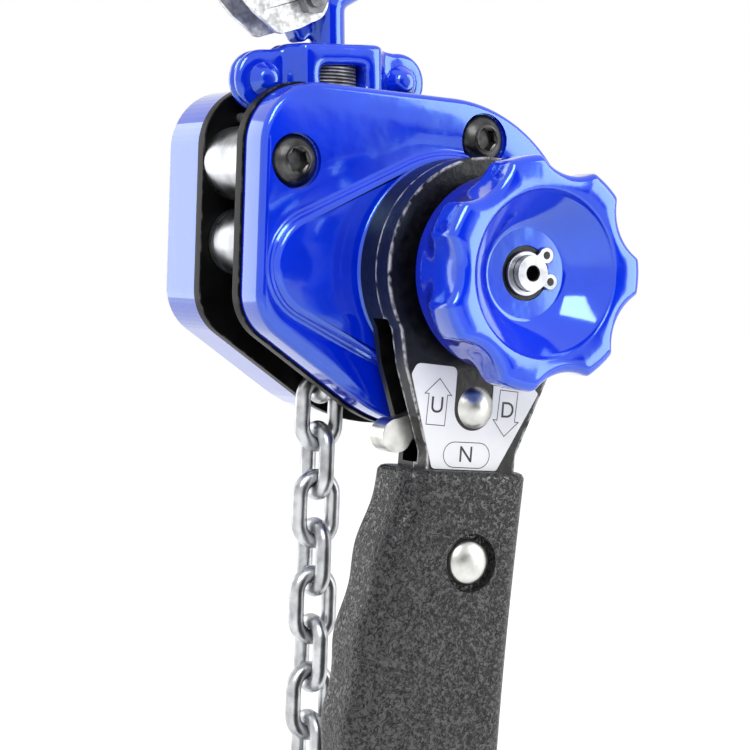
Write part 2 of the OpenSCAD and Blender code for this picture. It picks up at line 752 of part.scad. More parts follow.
module lever_ratchet_wheel() color("silver") front() difference() {
    union() {
        disc(brake_r, press_z, press_z + 1.5);
        disc(10.4, press_z, tooth_z1);
        translate([0, 0, tooth_z0]) linear_extrude(tooth_z1 - tooth_z0) rotate(-lever_lean) {
            circle(wheel_tip_r - wheel_depth);
            for (i = [0 : ratchet_z - 1]) rotate(15 + 30 * i)
                polygon([[8, -1.7], [wheel_tip_r - wheel_depth, -1.7], [wheel_tip_r, -0.8],
                         [wheel_tip_r, 0.8], [wheel_tip_r - wheel_depth, 1.7], [8, 1.7]]);
        }
    }
    disc(shaft_d / 2, press_z - 1, cavity_z);
    disc(shaft_end_d / 2, cavity_z - 1, tooth_z1 + 1);
}

module selector_pawl() color("gainsboro") lever() translate([0, -pawl_y, tooth_z0]) {
    linear_extrude(tooth_z1 - tooth_z0) difference() {
        union() {
            circle(6.5);
            for (s = [-1, 1]) {
                translate(horn_r * [s * sin(horn_a), cos(horn_a)]) circle(horn_end);
                polygon([[0, 0], [s * 6.5, 0], horn_r * [s * sin(horn_a), cos(horn_a)] + [s * 1.18, 0.2],
                         horn_r * [s * sin(horn_a), cos(horn_a)] + [-s * 1, -0.6], [0, 6]]);
            }
            intersection() {
                circle(10);
                polygon([[0, 0], [-7, -12], [7, -12]]);
            }
        }
        circle(2.5 + fit);
        for (k = [-1 : 1]) translate(10.8 * [sin(k * throw), -cos(k * throw)]) circle(1.1);
    }
    linear_extrude(tooth_z1 - tooth_z0 - 0.6) difference() {
        outline([[-4, 0.6, 2.4], tab_at_c]);
        circle(2.5 + fit);
    }
    translate([tab_at[0], tab_at[1], -0.7]) cylinder(r = 4, h = tooth_z1 - tooth_z0 + 0.9);
}

module selector_rivet() color("silver") lever() translate([0, -pawl_y, 0]) {
    disc(2.5, lever_z, lever_face);
    disc(4.2, lever_z - 0.9, lever_z);
    translate([0, 0, lever_face]) dome(5, 2.4);
}

module detent_plunger() color("silver") lever() translate([0, -pawl_y, mid_z]) rotate([90, 0, 0]) {
    translate([0, 0, 12.8]) cylinder(r = 2, h = 3);
    translate([0, 0, 11]) cylinder(r1 = 0.85, r2 = 2, h = 1.81);
    translate([0, 0, 11]) sphere(0.9);
}

module detent_spring() color("gray") lever() translate([0, -pawl_y, mid_z]) rotate([90, 0, 0])
    sweep([for (i = [0 : 32]) [1.5 * cos(45 * i), 1.5 * sin(45 * i), 16.1 + 1.05 * i / 8]], 0.28);

module label_plate() color("white") lever() translate([0, 0, lever_face]) linear_extrude(0.25) difference() {
    for (m = [0, 1]) mirror([m, 0]) translate([0, -pawl_y])
        polygon([[0, 0], [window_r, 0], [window_r, 8.1], [window_r + 1.5, 9.6], [shoulder_x - 3.8, 9.6],
                 [shoulder_x - 2.4, 7.8], [arm_x - 0.8, -12.2], [arm_x - 2.4, -13.8], [0, -13.8]]);
    translate([0, -pawl_y]) circle(window_r);
}

// Half widths of the grip at distance d below the shaft: finger side and palm side
function swell(d) = let (t = (d - grip_top) / (grip_end - grip_top)) grip_swell * sin(min(1, t / 0.55) * 90)
    * (t < 0.7 ? 1 : 1 - 0.7 * pow((t - 0.7) / 0.3, 2));
function finger_x(d) = -grip_x - grip_lead - swell(d) - groove * (1 - cos(360 * (d - grip_top - 8) / 21)) / 2 + groove / 2;
function palm_x(d) = grip_x - 1.5 * sin(180 * (d - grip_top) / (grip_end - grip_top));

// Rounded section of the grip at distance d, drawn in by e at the ends
function grip_ring(d, e) = let (l = finger_x(d) + e, r = palm_x(d) - e, b = lever_z - rubber_back + e,
                                f = lever_face + rubber_t - e, q = 4.6)
    [for (c = [[r, f, 0], [l, f, 90], [l, b, 180], [r, b, 270]], t = [0 : 22.5 : 90])
        let (u = c[0] == r ? r - q : l + q, v = c[1] == f ? f - q : b + q, w = c[2] + t)
            [u + q * cos(w), -d, v + q * sin(w)]];

// Solid through a list of rings with the same number of points
function centre(q) = [for (i = [0 : 2]) [for (p = q) p[i]] * [for (p = q) 1]] / len(q);
module loft(rings) {
    k = len(rings[0]);
    n = len(rings);
    pts = concat([for (q = rings) each q], [centre(rings[0]), centre(rings[n - 1])]);
    sides = [for (i = [0 : n - 2], j = [0 : k - 1]) let (a = i * k + j, b = i * k + (j + 1) % k)
        each [[a, b + k, b], [a, a + k, b + k]]];
    ends = [for (j = [0 : k - 1]) let (b = (j + 1) % k)
        each [[n * k, j, b], [n * k + 1, (n - 1) * k + b, (n - 1) * k + j]]];
    polyhedron(pts, concat(sides, ends));
}

module grip() color("dimgray") lever() difference() {
    loft(concat([grip_ring(grip_top, 0.8)], [for (i = [0 : 26]) grip_ring(grip_top + 0.8 +
         i * (grip_end - grip_top - 4) / 26, 0)], [grip_ring(grip_end - 0.8, 1.2)], [grip_ring(grip_end, 3)]));
    translate([0, 0, lever_z]) linear_extrude(lever_t) lever_outline();
    for (m = [0, 1]) translate([0, -grip_rivet_y, 0]) {
        disc(2.5, 0, 60);
        disc(6.3, lever_face + 1.4, 60);
        disc(6.3, 0, lever_z - 1.2);
    }
}

module grip_rivet() color("silver") lever() translate([0, -grip_rivet_y, 0]) {
    disc(2.5, lever_z - 1.2, lever_face + 1.4);
    translate([0, 0, lever_face + 1.4]) dome(5.7, 2.6);
    disc(5.7, lever_z - 2, lever_z - 1.2);
}

// ---------- handwheel ----------

// Ring of the handwheel at height z: round at the back, lobed by share s, drawn in by e
function lobe_at(t) = wheel_r - lobe_depth + lobe_depth * pow((1 + cos(lobes * (t - 103))) / 2, 1.6);
function wheel_ring(z, s, e) = [for (i = [0 : 12 * lobes - 1]) let (t = 360 * i / (12 * lobes),
    r = s * lobe_at(t) + (1 - s) * wheel_back_r - e) [r * cos(t), r * sin(t), z]];

module handwheel() color("royalblue") front() difference() {
    union() {
        loft([wheel_ring(wheel_z0, 0, 1), wheel_ring(wheel_z0 + 0.8, 0, 0.2), wheel_ring(wheel_z0 + 3, 0.1, 0),
              wheel_ring(wheel_z0 + 8, 0.6, 0), wheel_ring(wheel_z0 + 13, 1, 0),
              wheel_ring(wheel_face - 4, 1, 0), wheel_ring(wheel_face - 1.6, 1, 0.7),
              wheel_ring(wheel_face - 0.4, 1, 2), wheel_ring(wheel_face, 1, 3.2)]);
        disc(hub_r, tooth_z1, wheel_z0 + 1);
    }
    translate([0, 0, wheel_face]) rotate_extrude($fn = 96)
        polygon(concat([[0, 1], [dish_r, 1], [dish_r, 0]],
            [for (t = [10 : 10 : 90]) [floor_r + (dish_r - floor_r) * (1 - sin(t) * 0.85 - t / 600),
                                       -dish_h * (1 - cos(t))]], [[0, -dish_h]]));
    translate([0, 0, wheel_z0 - 1]) tube(17.5, hub_r + 2, 0, 6);
    disc(shaft_end_d / 2, tooth_z1 - 1, wheel_face);
}

module circlip() color("dimgray") front() translate([0, 0, floor_z + 0.15]) linear_extrude(0.9) difference() {
    union() {
        circle(6.3);
        for (s = [-1, 1]) translate([6.2, s * 2]) circle(1.7);
    }
    circle(shaft_end_d / 2 - 0.35);
    translate([0, -0.9]) square([12, 1.8]);
    for (s = [-1, 1]) translate([6.3, s * 2.1]) circle(0.65);
}

// ---------- hooks: 0,0 in the bowl, the shank pointing down ----------

module bow_section() {
    q = 3.2;
    for (x = [q, hook_t - q], y = [-1, 1]) translate([bowl_r + x, y * (hook_w / 2 - q)]) circle(q);
    translate([bowl_r + q, -hook_w / 2]) square([hook_t - 2 * q, hook_w]);
    translate([bowl_r, q - hook_w / 2]) square([hook_t, hook_w - 2 * q]);
}

module hook() difference() {
    union() {
        rotate([0, 0, -58]) rotate_extrude(angle = tip_a + 58) bow_section();
        hull() {
            rotate([0, 0, tip_a - 1]) translate([bowl_r + hook_t / 2, 0, 0]) rotate([90, 0, 0])
                cylinder(r = hook_w / 2 - 0.2, h = 0.5);
            translate(tip_ball) sphere(3);
        }
        hull() {
            rotate([0, 0, -50]) translate([bowl_r + hook_t / 2, 0, 0]) rotate([90, 0, 0])
                cylinder(r = hook_w / 2 - 0.2, h = 2);
            translate([0.5, -19.5, 0]) rotate([90, 0, 0]) cylinder(r = shank_d / 2 + 0.4, h = 2);
            translate([0, -23.5, 0]) rotate([90, 0, 0]) cylinder(r = shank_d / 2, h = 1);
        }
        translate([0, -22, 0]) rotate([90, 0, 0]) cylinder(r = shank_d / 2, h = hook_drop - 9.6 - 22);
        hull() {
            translate([latch_at[0], latch_at[1], -4.7]) cylinder(r = 4.6, h = 5.7);
            translate([0, latch_at[1], -4.2]) cylinder(r = 4, h = 4.8);
            translate([0.9 - latch_x, latch_at[1] - 8, -4.7]) cylinder(r = 1.6, h = 5.7);
        }
    }
    translate([latch_at[0], latch_at[1], -10]) cylinder(r = 2, h = 20);
    disc(bowl_r, -10, 10);
}

module hook_collar() translate([0, rivet_up + 0.6 + collar_h / 2 - hook_drop, 0]) rotate([90, 0, 0])
    tube(collar_d / 2, shank_d / 2, 0, collar_h);

module cheek() difference() {
    union() {
        circle(5.2);
        polygon(concat([[2.4, -4.4], [5.1, -1], [4.4, 3.6], [-3, 7.2], lip[1], lip[0]],
                       [for (t = [web_a + 2 : (170 - web_a) / 5 : 172]) polar(web_r + 0.5, t)],
                       [[-17.1, -1.2], [-14.9, -3.5], [-10.8, -6.5], [-9.2, -8], [-7.8, -8.2], [-2.5, -6.75]]));
    }
    circle(2.05);
}

module latch() translate([latch_at[0], latch_at[1], 0]) {
    for (m = [0, 1]) mirror([0, 0, m]) translate([0, 0, 5.1]) linear_extrude(1.2) cheek();
    rotate([0, 0, web_a]) rotate_extrude(angle = 172 - web_a) translate([web_r - 1.5, -5.6]) square([1.5, 11.2]);
    translate([0, 0, -4.6]) linear_extrude(9.2) polygon(lip);
}

module latch_spring() translate([latch_at[0], latch_at[1], 0])
    torsion_spring(2.9, 0.35, 1.6, 2.25, 1.15, -60, [4.4, 8]);

module latch_screw() translate([latch_at[0], latch_at[1], 0]) {
    disc(2, -6.4, 10.4);
    translate([0, 0, 6.4]) cylinder(d = 7.2, h = 3, $fn = 6);
    mirror([0, 0, 1]) translate([0, 0, 6.4]) dome(3.8, 2.2);
}

// ---------- yokes: 0,0 on the hanging pin, the hook above ----------

// Front half of a yoke; clevis makes room for a chain link round the pin
module yoke_half(clevis) {
    eye = clevis ? 5.2 : 8.5;
    th = clevis ? 5.4 : lobe_t;
    up = rivet_up + 0.6;
    difference() {
        union() {
            linear_extrude(lobe_t) {
                for (s = [-1, 1]) translate([s * rivet_x, rivet_up]) circle(lobe_r);
                translate([-rivet_x, rivet_up - 5.5]) square([2 * rivet_x, 11]);
            }
            linear_extrude(th) {
                circle(eye);
                translate([-eye, 0]) square([2 * eye, rivet_up]);
            }
            translate([0, rivet_up + 8.8, 0]) rotate([90, 0, 0]) linear_extrude(13)
                polygon([[-14, 0], [14, 0], [14, lobe_t], [block_x, block_z], [-block_x, block_z], [-14, lobe_t]]);
        }
        translate([0, 9.3, 0]) rotate([-90, 0, 0]) cylinder(r = shank_d / 2 + fit, h = 20);
        translate([0, up - collar_h / 2 - 0.1, 0]) rotate([-90, 0, 0])
            cylinder(r = collar_d / 2 + 0.1, h = collar_h + 0.2);
        translate([-6.2, up - collar_h / 2 - 0.05, 0]) cube([12.4, collar_h + 0.1, 20]);
        disc(clevis ? chain_pin_d / 2 : pin_d / 2 + fit, -1, 20);
        for (s = [-1, 1]) translate([s * rivet_x, rivet_up]) disc(2.2, -1, 20);
        if (clevis) {
            disc(6.9, -1, wire_r + 0.35);
            translate([-6.9, -20, -1]) cube([13.8, 20, wire_r + 1.35]);
        }
    }
}

module yoke_rivets() for (s = [-1, 1]) translate([s * rivet_x, rivet_up]) {
    disc(2.2, -lobe_t, lobe_t);
    for (m = [0, 1]) mirror([0, 0, m]) translate([0, 0, lobe_t]) cylinder(r1 = 4.6, r2 = 2.3, h = 3);
}

// From a yoke's frame into its hook's frame
module yoke_at() translate([0, -hook_drop, 0]) children();

module top_hook() color("royalblue") top() hook();

module top_hook_collar() color("silver") top() hook_collar();

module top_latch() color("gainsboro") top() latch();

module top_latch_spring() color("gray") top() latch_spring();

module top_latch_screw() color("silver") top() latch_screw();

module top_yoke_front() color("royalblue") top() yoke_at() yoke_half(false);

module top_yoke_rear() color("royalblue") top() yoke_at() mirror([0, 0, 1]) yoke_half(false);

module top_yoke_rivets() color("royalblue") top() yoke_at() yoke_rivets();

module suspension_pin() color("silver") front() translate(pin_at) disc(pin_d / 2, -plate_out, plate_out);

module bottom_hook() color("royalblue") bottom() hook();

module bottom_hook_collar() color("silver") bottom() hook_collar();

module bottom_latch() color("gainsboro") bottom() latch();

module bottom_latch_spring() color("gray") bottom() latch_spring();

module bottom_latch_screw() color("silver") bottom() latch_screw();

module bottom_yoke_front() color("royalblue") bottom() yoke_at() yoke_half(true);

module bottom_yoke_rear() color("royalblue") bottom() yoke_at() mirror([0, 0, 1]) yoke_half(true);

module bottom_yoke_rivets() color("royalblue") bottom() yoke_at() yoke_rivets();

module chain_pin() color("silver") bottom() yoke_at() {
    disc(chain_pin_d / 2, -5.4, 5.4);
    for (m = [0, 1]) mirror([0, 0, m]) disc(3.6, 5.4, 6.4);
}

top_hook();
top_hook_collar();
top_latch();
top_latch_spring();
top_latch_screw();
top_yoke_front();
top_yoke_rear();
top_yoke_rivets();
suspension_pin();
front_plate();
rear_plate();
stay_spacers();
stop_pins();
cover_screws();
cover_nuts();
front_cover();
rear_cover();
sheave_bushes();
load_sheave();
load_gear();
disc_gear_right();
disc_gear_left();
drive_shaft();
guide_pins();
guide_roller_left();
guide_roller_right();
chain_stripper();
brake_hub();
friction_discs();
ratchet_disc();
brake_pawl();
brake_pawl_stud();
brake_pawl_spring();
lever_ratchet_wheel();
lever_rear_shell();
lever_front_shell();
selector_pawl();
selector_rivet();
detent_plunger();
detent_spring();
label_plate();
grip();
grip_rivet();
handwheel();
circlip();
sheave_chain();
load_chain();
free_chain();
chain_stop_ring();
chain_pin();
bottom_yoke_front();
bottom_yoke_rear();
bottom_yoke_rivets();
bottom_hook();
bottom_hook_collar();
bottom_latch();
bottom_latch_spring();
bottom_latch_screw();
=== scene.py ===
import json
import math

import bmesh
import bpy
from mathutils import Matrix, Vector


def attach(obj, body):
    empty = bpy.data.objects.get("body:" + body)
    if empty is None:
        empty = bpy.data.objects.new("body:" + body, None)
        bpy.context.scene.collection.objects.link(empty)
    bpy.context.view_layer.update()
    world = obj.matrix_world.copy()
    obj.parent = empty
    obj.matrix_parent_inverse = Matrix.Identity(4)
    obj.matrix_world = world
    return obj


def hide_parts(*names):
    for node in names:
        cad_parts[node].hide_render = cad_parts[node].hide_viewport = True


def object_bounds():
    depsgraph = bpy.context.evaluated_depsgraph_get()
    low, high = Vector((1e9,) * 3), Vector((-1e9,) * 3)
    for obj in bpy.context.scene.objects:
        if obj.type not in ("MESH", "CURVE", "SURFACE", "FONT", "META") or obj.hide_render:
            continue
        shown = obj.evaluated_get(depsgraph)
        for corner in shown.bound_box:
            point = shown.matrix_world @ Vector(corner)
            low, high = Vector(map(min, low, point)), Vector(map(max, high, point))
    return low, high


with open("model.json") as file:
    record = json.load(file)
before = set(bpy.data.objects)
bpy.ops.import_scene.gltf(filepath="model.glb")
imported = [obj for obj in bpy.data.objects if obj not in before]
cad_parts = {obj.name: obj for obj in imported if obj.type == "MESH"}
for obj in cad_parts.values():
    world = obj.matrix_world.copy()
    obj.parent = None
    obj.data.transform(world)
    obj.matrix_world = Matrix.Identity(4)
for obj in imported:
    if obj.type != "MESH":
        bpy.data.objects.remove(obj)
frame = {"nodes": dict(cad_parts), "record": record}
CAD_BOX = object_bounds()
nodes = frame["nodes"]
MM = 0.001

# Places in the row frame, in millimetres, as the part's source has them
LEAN = math.radians(3.0)
LEVER_LEAN = math.radians(3.0)
HOOK_DROP, PIN_UP = 54.0, 33.5
LINK_HALF, LINK_REST = 8, 4
TURN_COS, TURN_SIN = math.cos(math.radians(30)), 0.5
STAND_R = (LINK_HALF + LINK_REST * TURN_COS) / TURN_SIN
LINE_R = STAND_R * TURN_COS + LINK_REST * TURN_SIN
SHAFT_X = HOOK_DROP * math.sin(LEAN) + LINE_R
SHAFT_Z = -HOOK_DROP * math.cos(LEAN) - PIN_UP

# Heights over the middle plane of the casing, in millimetres
PLATE_OUT, SPOT_Z, FLAT_Z, STEP_Z, RIM_Z, COLLAR_Z = 11.8, 20.0, 21.2, 24.0, 25.2, 28.8
LEVER_BACK, LEVER_FACE = 26.5, 39.3
WHEEL_BACK, WHEEL_FLOOR, WHEEL_FACE, SHAFT_TIP = 43.1, 55.3, 63.9, 58.4


def front(x, y, z):
    """A point seen from the front, x right, y up, z towards the viewer, as a row-frame vector."""
    return Vector(((SHAFT_X + x) * MM, -z * MM, (SHAFT_Z + y) * MM))


def lever(x, y, z):
    """A point in the lever's frame, y running up along the lever."""
    c, s = math.cos(-LEVER_LEAN), math.sin(-LEVER_LEAN)
    return front(x * c - y * s, x * s + y * c, z)


def add_object(name, data):
    """A new object with this data, in the scene."""
    obj = bpy.data.objects.new(name, data)
    bpy.context.scene.collection.objects.link(obj)
    return obj


# ---------- camera, fitted to the photograph's landmarks ----------
YAW, PITCH, ROLL = 0.5419996, -0.0493373, 0.0344994
CAMERA_AT = Vector((SHAFT_X - 285.8317, -464.5972, SHAFT_Z - 0.0016)) * MM
FOCAL_PX, PHOTO_PX, SENSOR_MM = 2165.87, 750.0, 36.0
look = Vector((math.sin(YAW) * math.cos(PITCH), math.cos(YAW) * math.cos(PITCH), math.sin(PITCH)))
side = look.cross(Vector((0, 0, 1))).normalized()
up = side.cross(look)
right = side * math.cos(ROLL) + up * math.sin(ROLL)
top = up * math.cos(ROLL) - side * math.sin(ROLL)
cam_data = bpy.data.cameras.new("camera")
cam_data.sensor_width = SENSOR_MM
cam_data.lens = FOCAL_PX / PHOTO_PX * SENSOR_MM
cam_data.clip_start = 0.01
camera = add_object("camera", cam_data)
turn = Matrix((right, top, -look)).transposed().to_4x4()
camera.matrix_world = Matrix.Translation(CAMERA_AT) @ turn
bpy.context.scene.camera = camera

# ---------- shader helpers ----------
WHITE = (1, 1, 1, 1)
MIX_A, MIX_B, MIX_COLOUR = 6, 7, 2  # a Mix node's two colour inputs and its colour output


def srgb(r, g, b):
    """0-255 screen colour to a linear colour with alpha."""
    def lin(v):
        v /= 255.0
        return v / 12.92 if v <= 0.04045 else ((v + 0.055) / 1.055) ** 2.4
    return (lin(r), lin(g), lin(b), 1.0)


def feed(node, inputs):
    """Sets inputs of a shader node, by name or number, to values or to other nodes' outputs."""
    for key, value in inputs.items():
        if isinstance(value, bpy.types.NodeSocket):
            node.id_data.links.new(value, node.inputs[key])
        else:
            node.inputs[key].default_value = value


def add_node(tree, kind, inputs=None, **settings):
    """A new shader node with these inputs and settings."""
    node = tree.nodes.new(kind)
    for key, value in settings.items():
        setattr(node, key, value)
    feed(node, inputs or {})
    return node


def math_node(tree, operation, a, b):
    """The result of a Math node on two values or outputs."""
    return add_node(tree, "ShaderNodeMath", {0: a, 1: b}, operation=operation).outputs[0]


def backdrop_rays(tree):
    """Two outputs: 1 on camera and transmission rays, and 1 on those and on glossy rays."""
    rays = add_node(tree, "ShaderNodeLightPath").outputs
    seen = math_node(tree, "MAXIMUM", rays["Is Camera Ray"], rays["Is Transmission Ray"])
    return seen, math_node(tree, "MAXIMUM", seen, rays["Is Glossy Ray"])


def add_relief(tree, bsdf, at, colour, spec, scale, distance, kind):
    """Bump from a texture; layers get painted shade in the gaps between them, leather dulls its
    creases.
    """
    if kind == "layers":
        height = add_node(tree, "ShaderNodeTexWave", {"Vector": at, "Scale": scale},
                          bands_direction="Z").outputs["Fac"]
        # Painted shade: the colour is darkened in the gaps between the layers
        gap = add_node(tree, "ShaderNodeMapRange",
                       {"Value": height, "From Min": 0.15, "From Max": 0.5})
        shaded = add_node(tree, "ShaderNodeMix",
                          {"Factor": 0.9, MIX_A: colour, MIX_B: gap.outputs["Result"]},
                          data_type="RGBA", blend_type="MULTIPLY")
        feed(bsdf, {"Base Color": shaded.outputs[MIX_COLOUR]})
    else:
        detail, distortion = (1.5, 0.9) if kind == "leather" else (3.0, 0.0)
        height = add_node(tree, "ShaderNodeTexNoise",
                          {"Vector": at, "Scale": scale, "Detail": detail,
                           "Distortion": distortion}).outputs["Fac"]
    if kind == "leather":
        dull = add_node(tree, "ShaderNodeMapRange",
                        {"Value": height, "From Min": 0.39, "From Max": 0.49,
                         "To Min": 0.22 * spec, "To Max": spec})
        feed(bsdf, {"Specular IOR Level": dull.outputs["Result"]})
        crease = add_node(tree, "ShaderNodeMapRange",
                          {"Value": height, "From Min": 0.42, "From Max": 0.58},
                          interpolation_type="SMOOTHSTEP")
        height = crease.outputs["Result"]
    bump = add_node(tree, "ShaderNodeBump",
                    {"Height": height, "Distance": distance, "Strength": 1.0})
    feed(bsdf, {"Normal": bump.outputs["Normal"]})


def add_wear_and_edge_highlight(tree, bsdf, at, colour, radius, worn_and_highlight_colour, share):
    """Light colour on sharp edges, broken up by noise: partly a rubbed finish, partly a painted
    highlight.
    """
    soft = add_node(tree, "ShaderNodeBevel", {"Radius": radius}, samples=6)
    flat = add_node(tree, "ShaderNodeNewGeometry")
    agree = add_node(tree, "ShaderNodeVectorMath",
                     {0: soft.outputs["Normal"], 1: flat.outputs["Normal"]},
                     operation="DOT_PRODUCT")
    edge = add_node(tree, "ShaderNodeMapRange",
                    {"Value": agree.outputs["Value"], "From Min": 0.985, "From Max": 0.90})
    grain = add_node(tree, "ShaderNodeTexNoise", {"Vector": at, "Scale": 420.0, "Detail": 9.0})
    broken = add_node(tree, "ShaderNodeMapRange",
                      {"Value": grain.outputs["Fac"],
                       "From Min": 0.72 - 0.4 * share, "From Max": 0.88 - 0.4 * share})
    worn_and_highlight_mask = math_node(tree, "MULTIPLY", edge.outputs["Result"], broken.outputs["Result"])
    mixed = add_node(tree, "ShaderNodeMix", {"Factor": worn_and_highlight_mask, MIX_A: colour, MIX_B: worn_and_highlight_colour},
                     data_type="RGBA")
    feed(bsdf, {"Base Color": mixed.outputs[MIX_COLOUR]})


# ---------- materials ----------
def material(name, dark, light, scale, rough, metal=0.0, relief=None, coat=0.0, coat_rough=0.03,
             spec=0.5, tint=WHITE, edge_wear_and_highlight=None):
    """Principled material whose colour and roughness vary by noise of this scale.

    relief is (scale, distance in m, kind: noise, layers or leather), and edge_wear_and_highlight
    is (edge radius in m, colour, share of the edge that is lightened): partly a rubbed finish,
    partly a painted highlight.
    """
    m = bpy.data.materials.new(name)
    m.use_nodes = True
    tree = m.node_tree
    at = add_node(tree, "ShaderNodeTexCoord").outputs["Object"]
    noise = add_node(tree, "ShaderNodeTexNoise", {"Vector": at, "Scale": scale, "Detail": 4.0})
    ramp = add_node(tree, "ShaderNodeValToRGB", {"Fac": noise.outputs["Fac"]})
    colour = ramp.outputs["Color"]
    for end, position, shade in zip(ramp.color_ramp.elements, (0.35, 0.65), (dark, light)):
        end.position, end.color = position, shade
    varied = add_node(tree, "ShaderNodeMapRange",
                      {"Value": noise.outputs["Fac"], "To Min": rough[0], "To Max": rough[1]})
    bsdf = tree.nodes["Principled BSDF"]
    feed(bsdf, {"Base Color": colour, "Roughness": varied.outputs["Result"], "Metallic": metal,
                "Coat Weight": coat, "Coat Roughness": coat_rough, "Specular IOR Level": spec,
                "Specular Tint": tint})
    if relief:
        add_relief(tree, bsdf, at, colour, spec, *relief)
    if edge_wear_and_highlight:
        add_wear_and_edge_highlight(tree, bsdf, at, colour, *edge_wear_and_highlight)
    return m


BLUE = material("blue_enamel", srgb(1, 34, 202), srgb(4, 46, 220), 60, (0.08, 0.13),
                relief=(90, 0.00012, "noise"), coat=0.75, coat_rough=0.05, spec=1.0,
                tint=(0.35, 0.85, 1.0, 1.0))
BLACK = material("black_enamel", srgb(2, 2, 2), srgb(9, 9, 9), 400, (0.24, 0.5),
                 relief=(500, 0.00012, "noise"), coat=0.1, coat_rough=0.12, spec=0.35)
# Its edges are lightened grey: partly rubbed enamel, partly a painted highlight
BLACK_WORN_AND_HIGHLIGHTED = material("black_enamel_worn_and_highlighted", srgb(2, 2, 2), srgb(9, 9, 9), 400, (0.24, 0.5),
                      relief=(500, 0.00016, "noise"), coat=0.1, coat_rough=0.12, spec=0.35,
                      edge_wear_and_highlight=(0.0014, srgb(214, 214, 214), 0.82))
# Its edges are lightened grey: a painted highlight along them, partly rubbed steel
PLATE = material("plate_steel", srgb(4, 4, 4), srgb(11, 11, 12), 90, (0.3, 0.42),
                 relief=(60, 0.0001, "noise"), spec=0.1, edge_wear_and_highlight=(0.0005, srgb(150, 150, 150), 0.55))
ZINC = material("galvanised_steel", srgb(178, 179, 180), srgb(236, 237, 238), 700, (0.24, 0.42),
                metal=0.85, relief=(800, 0.00005, "noise"))
MACHINED = material("machined_steel", srgb(150, 152, 156), srgb(196, 198, 202), 160, (0.22, 0.36),
                    metal=1.0, relief=(400, 0.00002, "noise"))
CHAIN = material("chain_steel", srgb(158, 160, 163), srgb(206, 208, 210), 260, (0.22, 0.4),
                 metal=1.0, relief=(350, 0.00004, "noise"))
SPRING = material("spring_steel", srgb(88, 90, 94), srgb(130, 132, 136), 300, (0.25, 0.4),
                  metal=1.0)
# Its rims and edges are lightened grey: partly a rubbed finish, partly a painted highlight
SCREW = material("black_steel", srgb(46, 46, 46), srgb(82, 82, 82), 320, (0.22, 0.36), metal=0.9,
                 relief=(400, 0.00004, "noise"), spec=0.6, edge_wear_and_highlight=(0.0002, srgb(150, 150, 150), 0.5))
BRONZE = material("bronze", srgb(150, 110, 60), srgb(186, 142, 88), 240, (0.3, 0.45), metal=1.0)
LINING = material("friction_lining", srgb(70, 52, 38), srgb(104, 80, 58), 500, (0.8, 0.92))
GRIP = material("grip_rubber", srgb(16, 16, 16), srgb(34, 34, 34), 260, (0.27, 0.42),
                relief=(1250, 0.0016, "leather"), spec=1.0)
LABEL = material("label", srgb(226, 227, 228), srgb(240, 240, 241), 60, (0.34, 0.42))
INK = material("label_ink", srgb(36, 36, 38), srgb(54, 54, 56), 300, (0.5, 0.6))
# The layers relief gives these washers painted shade in the gaps between them
LAMINATED = material("laminated_washers", srgb(150, 148, 142), srgb(226, 224, 218), 300,
                     (0.35, 0.5), metal=0.6, relief=(380, 0.0005, "layers"))
SATIN = material("satin_nickel", srgb(176, 176, 172), srgb(214, 214, 210), 200, (0.24, 0.36),
                 metal=1.0, relief=(200, 0.00004, "noise"))

BY_SLOT = {"blue_enamel": BLUE, "plate_steel": PLATE, "galvanised_steel": ZINC,
           "chain_steel": CHAIN, "machined_steel": MACHINED, "spring_steel": SPRING,
           "black_steel": SCREW, "black_enamel": BLACK, "bronze": BRONZE,
           "friction_lining": LINING, "grip_rubber": GRIP, "label": LABEL}
BY_NODE = {"selector_pawl": SATIN, "selector_rivet": SATIN, "top_hook_collar": LAMINATED,
           "bottom_hook_collar": LAMINATED, "lever_front_shell": BLACK_WORN_AND_HIGHLIGHTED,
           "top_latch_screw": SPRING, "bottom_latch_screw": SPRING}
slot_of = {s["node"]: s["material_slot"] for s in frame["record"]["subparts"]}
for name, obj in nodes.items():
    finish = BY_NODE.get(name) or BY_SLOT[slot_of[name]]
    if not obj.material_slots:
        obj.data.materials.append(finish)
    for ms in obj.material_slots:
        ms.material = finish

# ---------- world: even white light, and a white backdrop for the camera and for gloss ----------
# The studio in front of the object is a dark room: gloss shows white only from sides and behind
ROOM_SIDE, ROOM_LEVEL, ROOM_EDGE = (0.170, -0.963, -0.208), 0.02, (0.887, 0.9135)
AMBIENT = 0.55
world = bpy.data.worlds.new("world")
world.use_nodes = True
sky = world.node_tree
ambient = sky.nodes["Background"]
feed(ambient, {"Color": WHITE, "Strength": AMBIENT})
seen, seen_or_gloss = backdrop_rays(sky)
toward = add_node(sky, "ShaderNodeVectorMath",
                  {0: add_node(sky, "ShaderNodeTexCoord").outputs["Generated"], 1: ROOM_SIDE},
                  operation="DOT_PRODUCT")
room = add_node(sky, "ShaderNodeMapRange",
                {"Value": toward.outputs["Value"], "From Min": ROOM_EDGE[0],
                 "From Max": ROOM_EDGE[1], "To Min": 1.0, "To Max": ROOM_LEVEL},
                interpolation_type="SMOOTHSTEP")
level = math_node(sky, "MAXIMUM", seen, room.outputs["Result"])
white = add_node(sky, "ShaderNodeBackground", {"Color": WHITE, "Strength": level})
mixed_sky = add_node(sky, "ShaderNodeMixShader",
                     {"Fac": seen_or_gloss, 1: ambient.outputs[0], 2: white.outputs[0]})
feed(sky.nodes["World Output"], {"Surface": mixed_sky.outputs[0]})
bpy.context.scene.world = world
bpy.context.scene.view_settings.view_transform = "Standard"


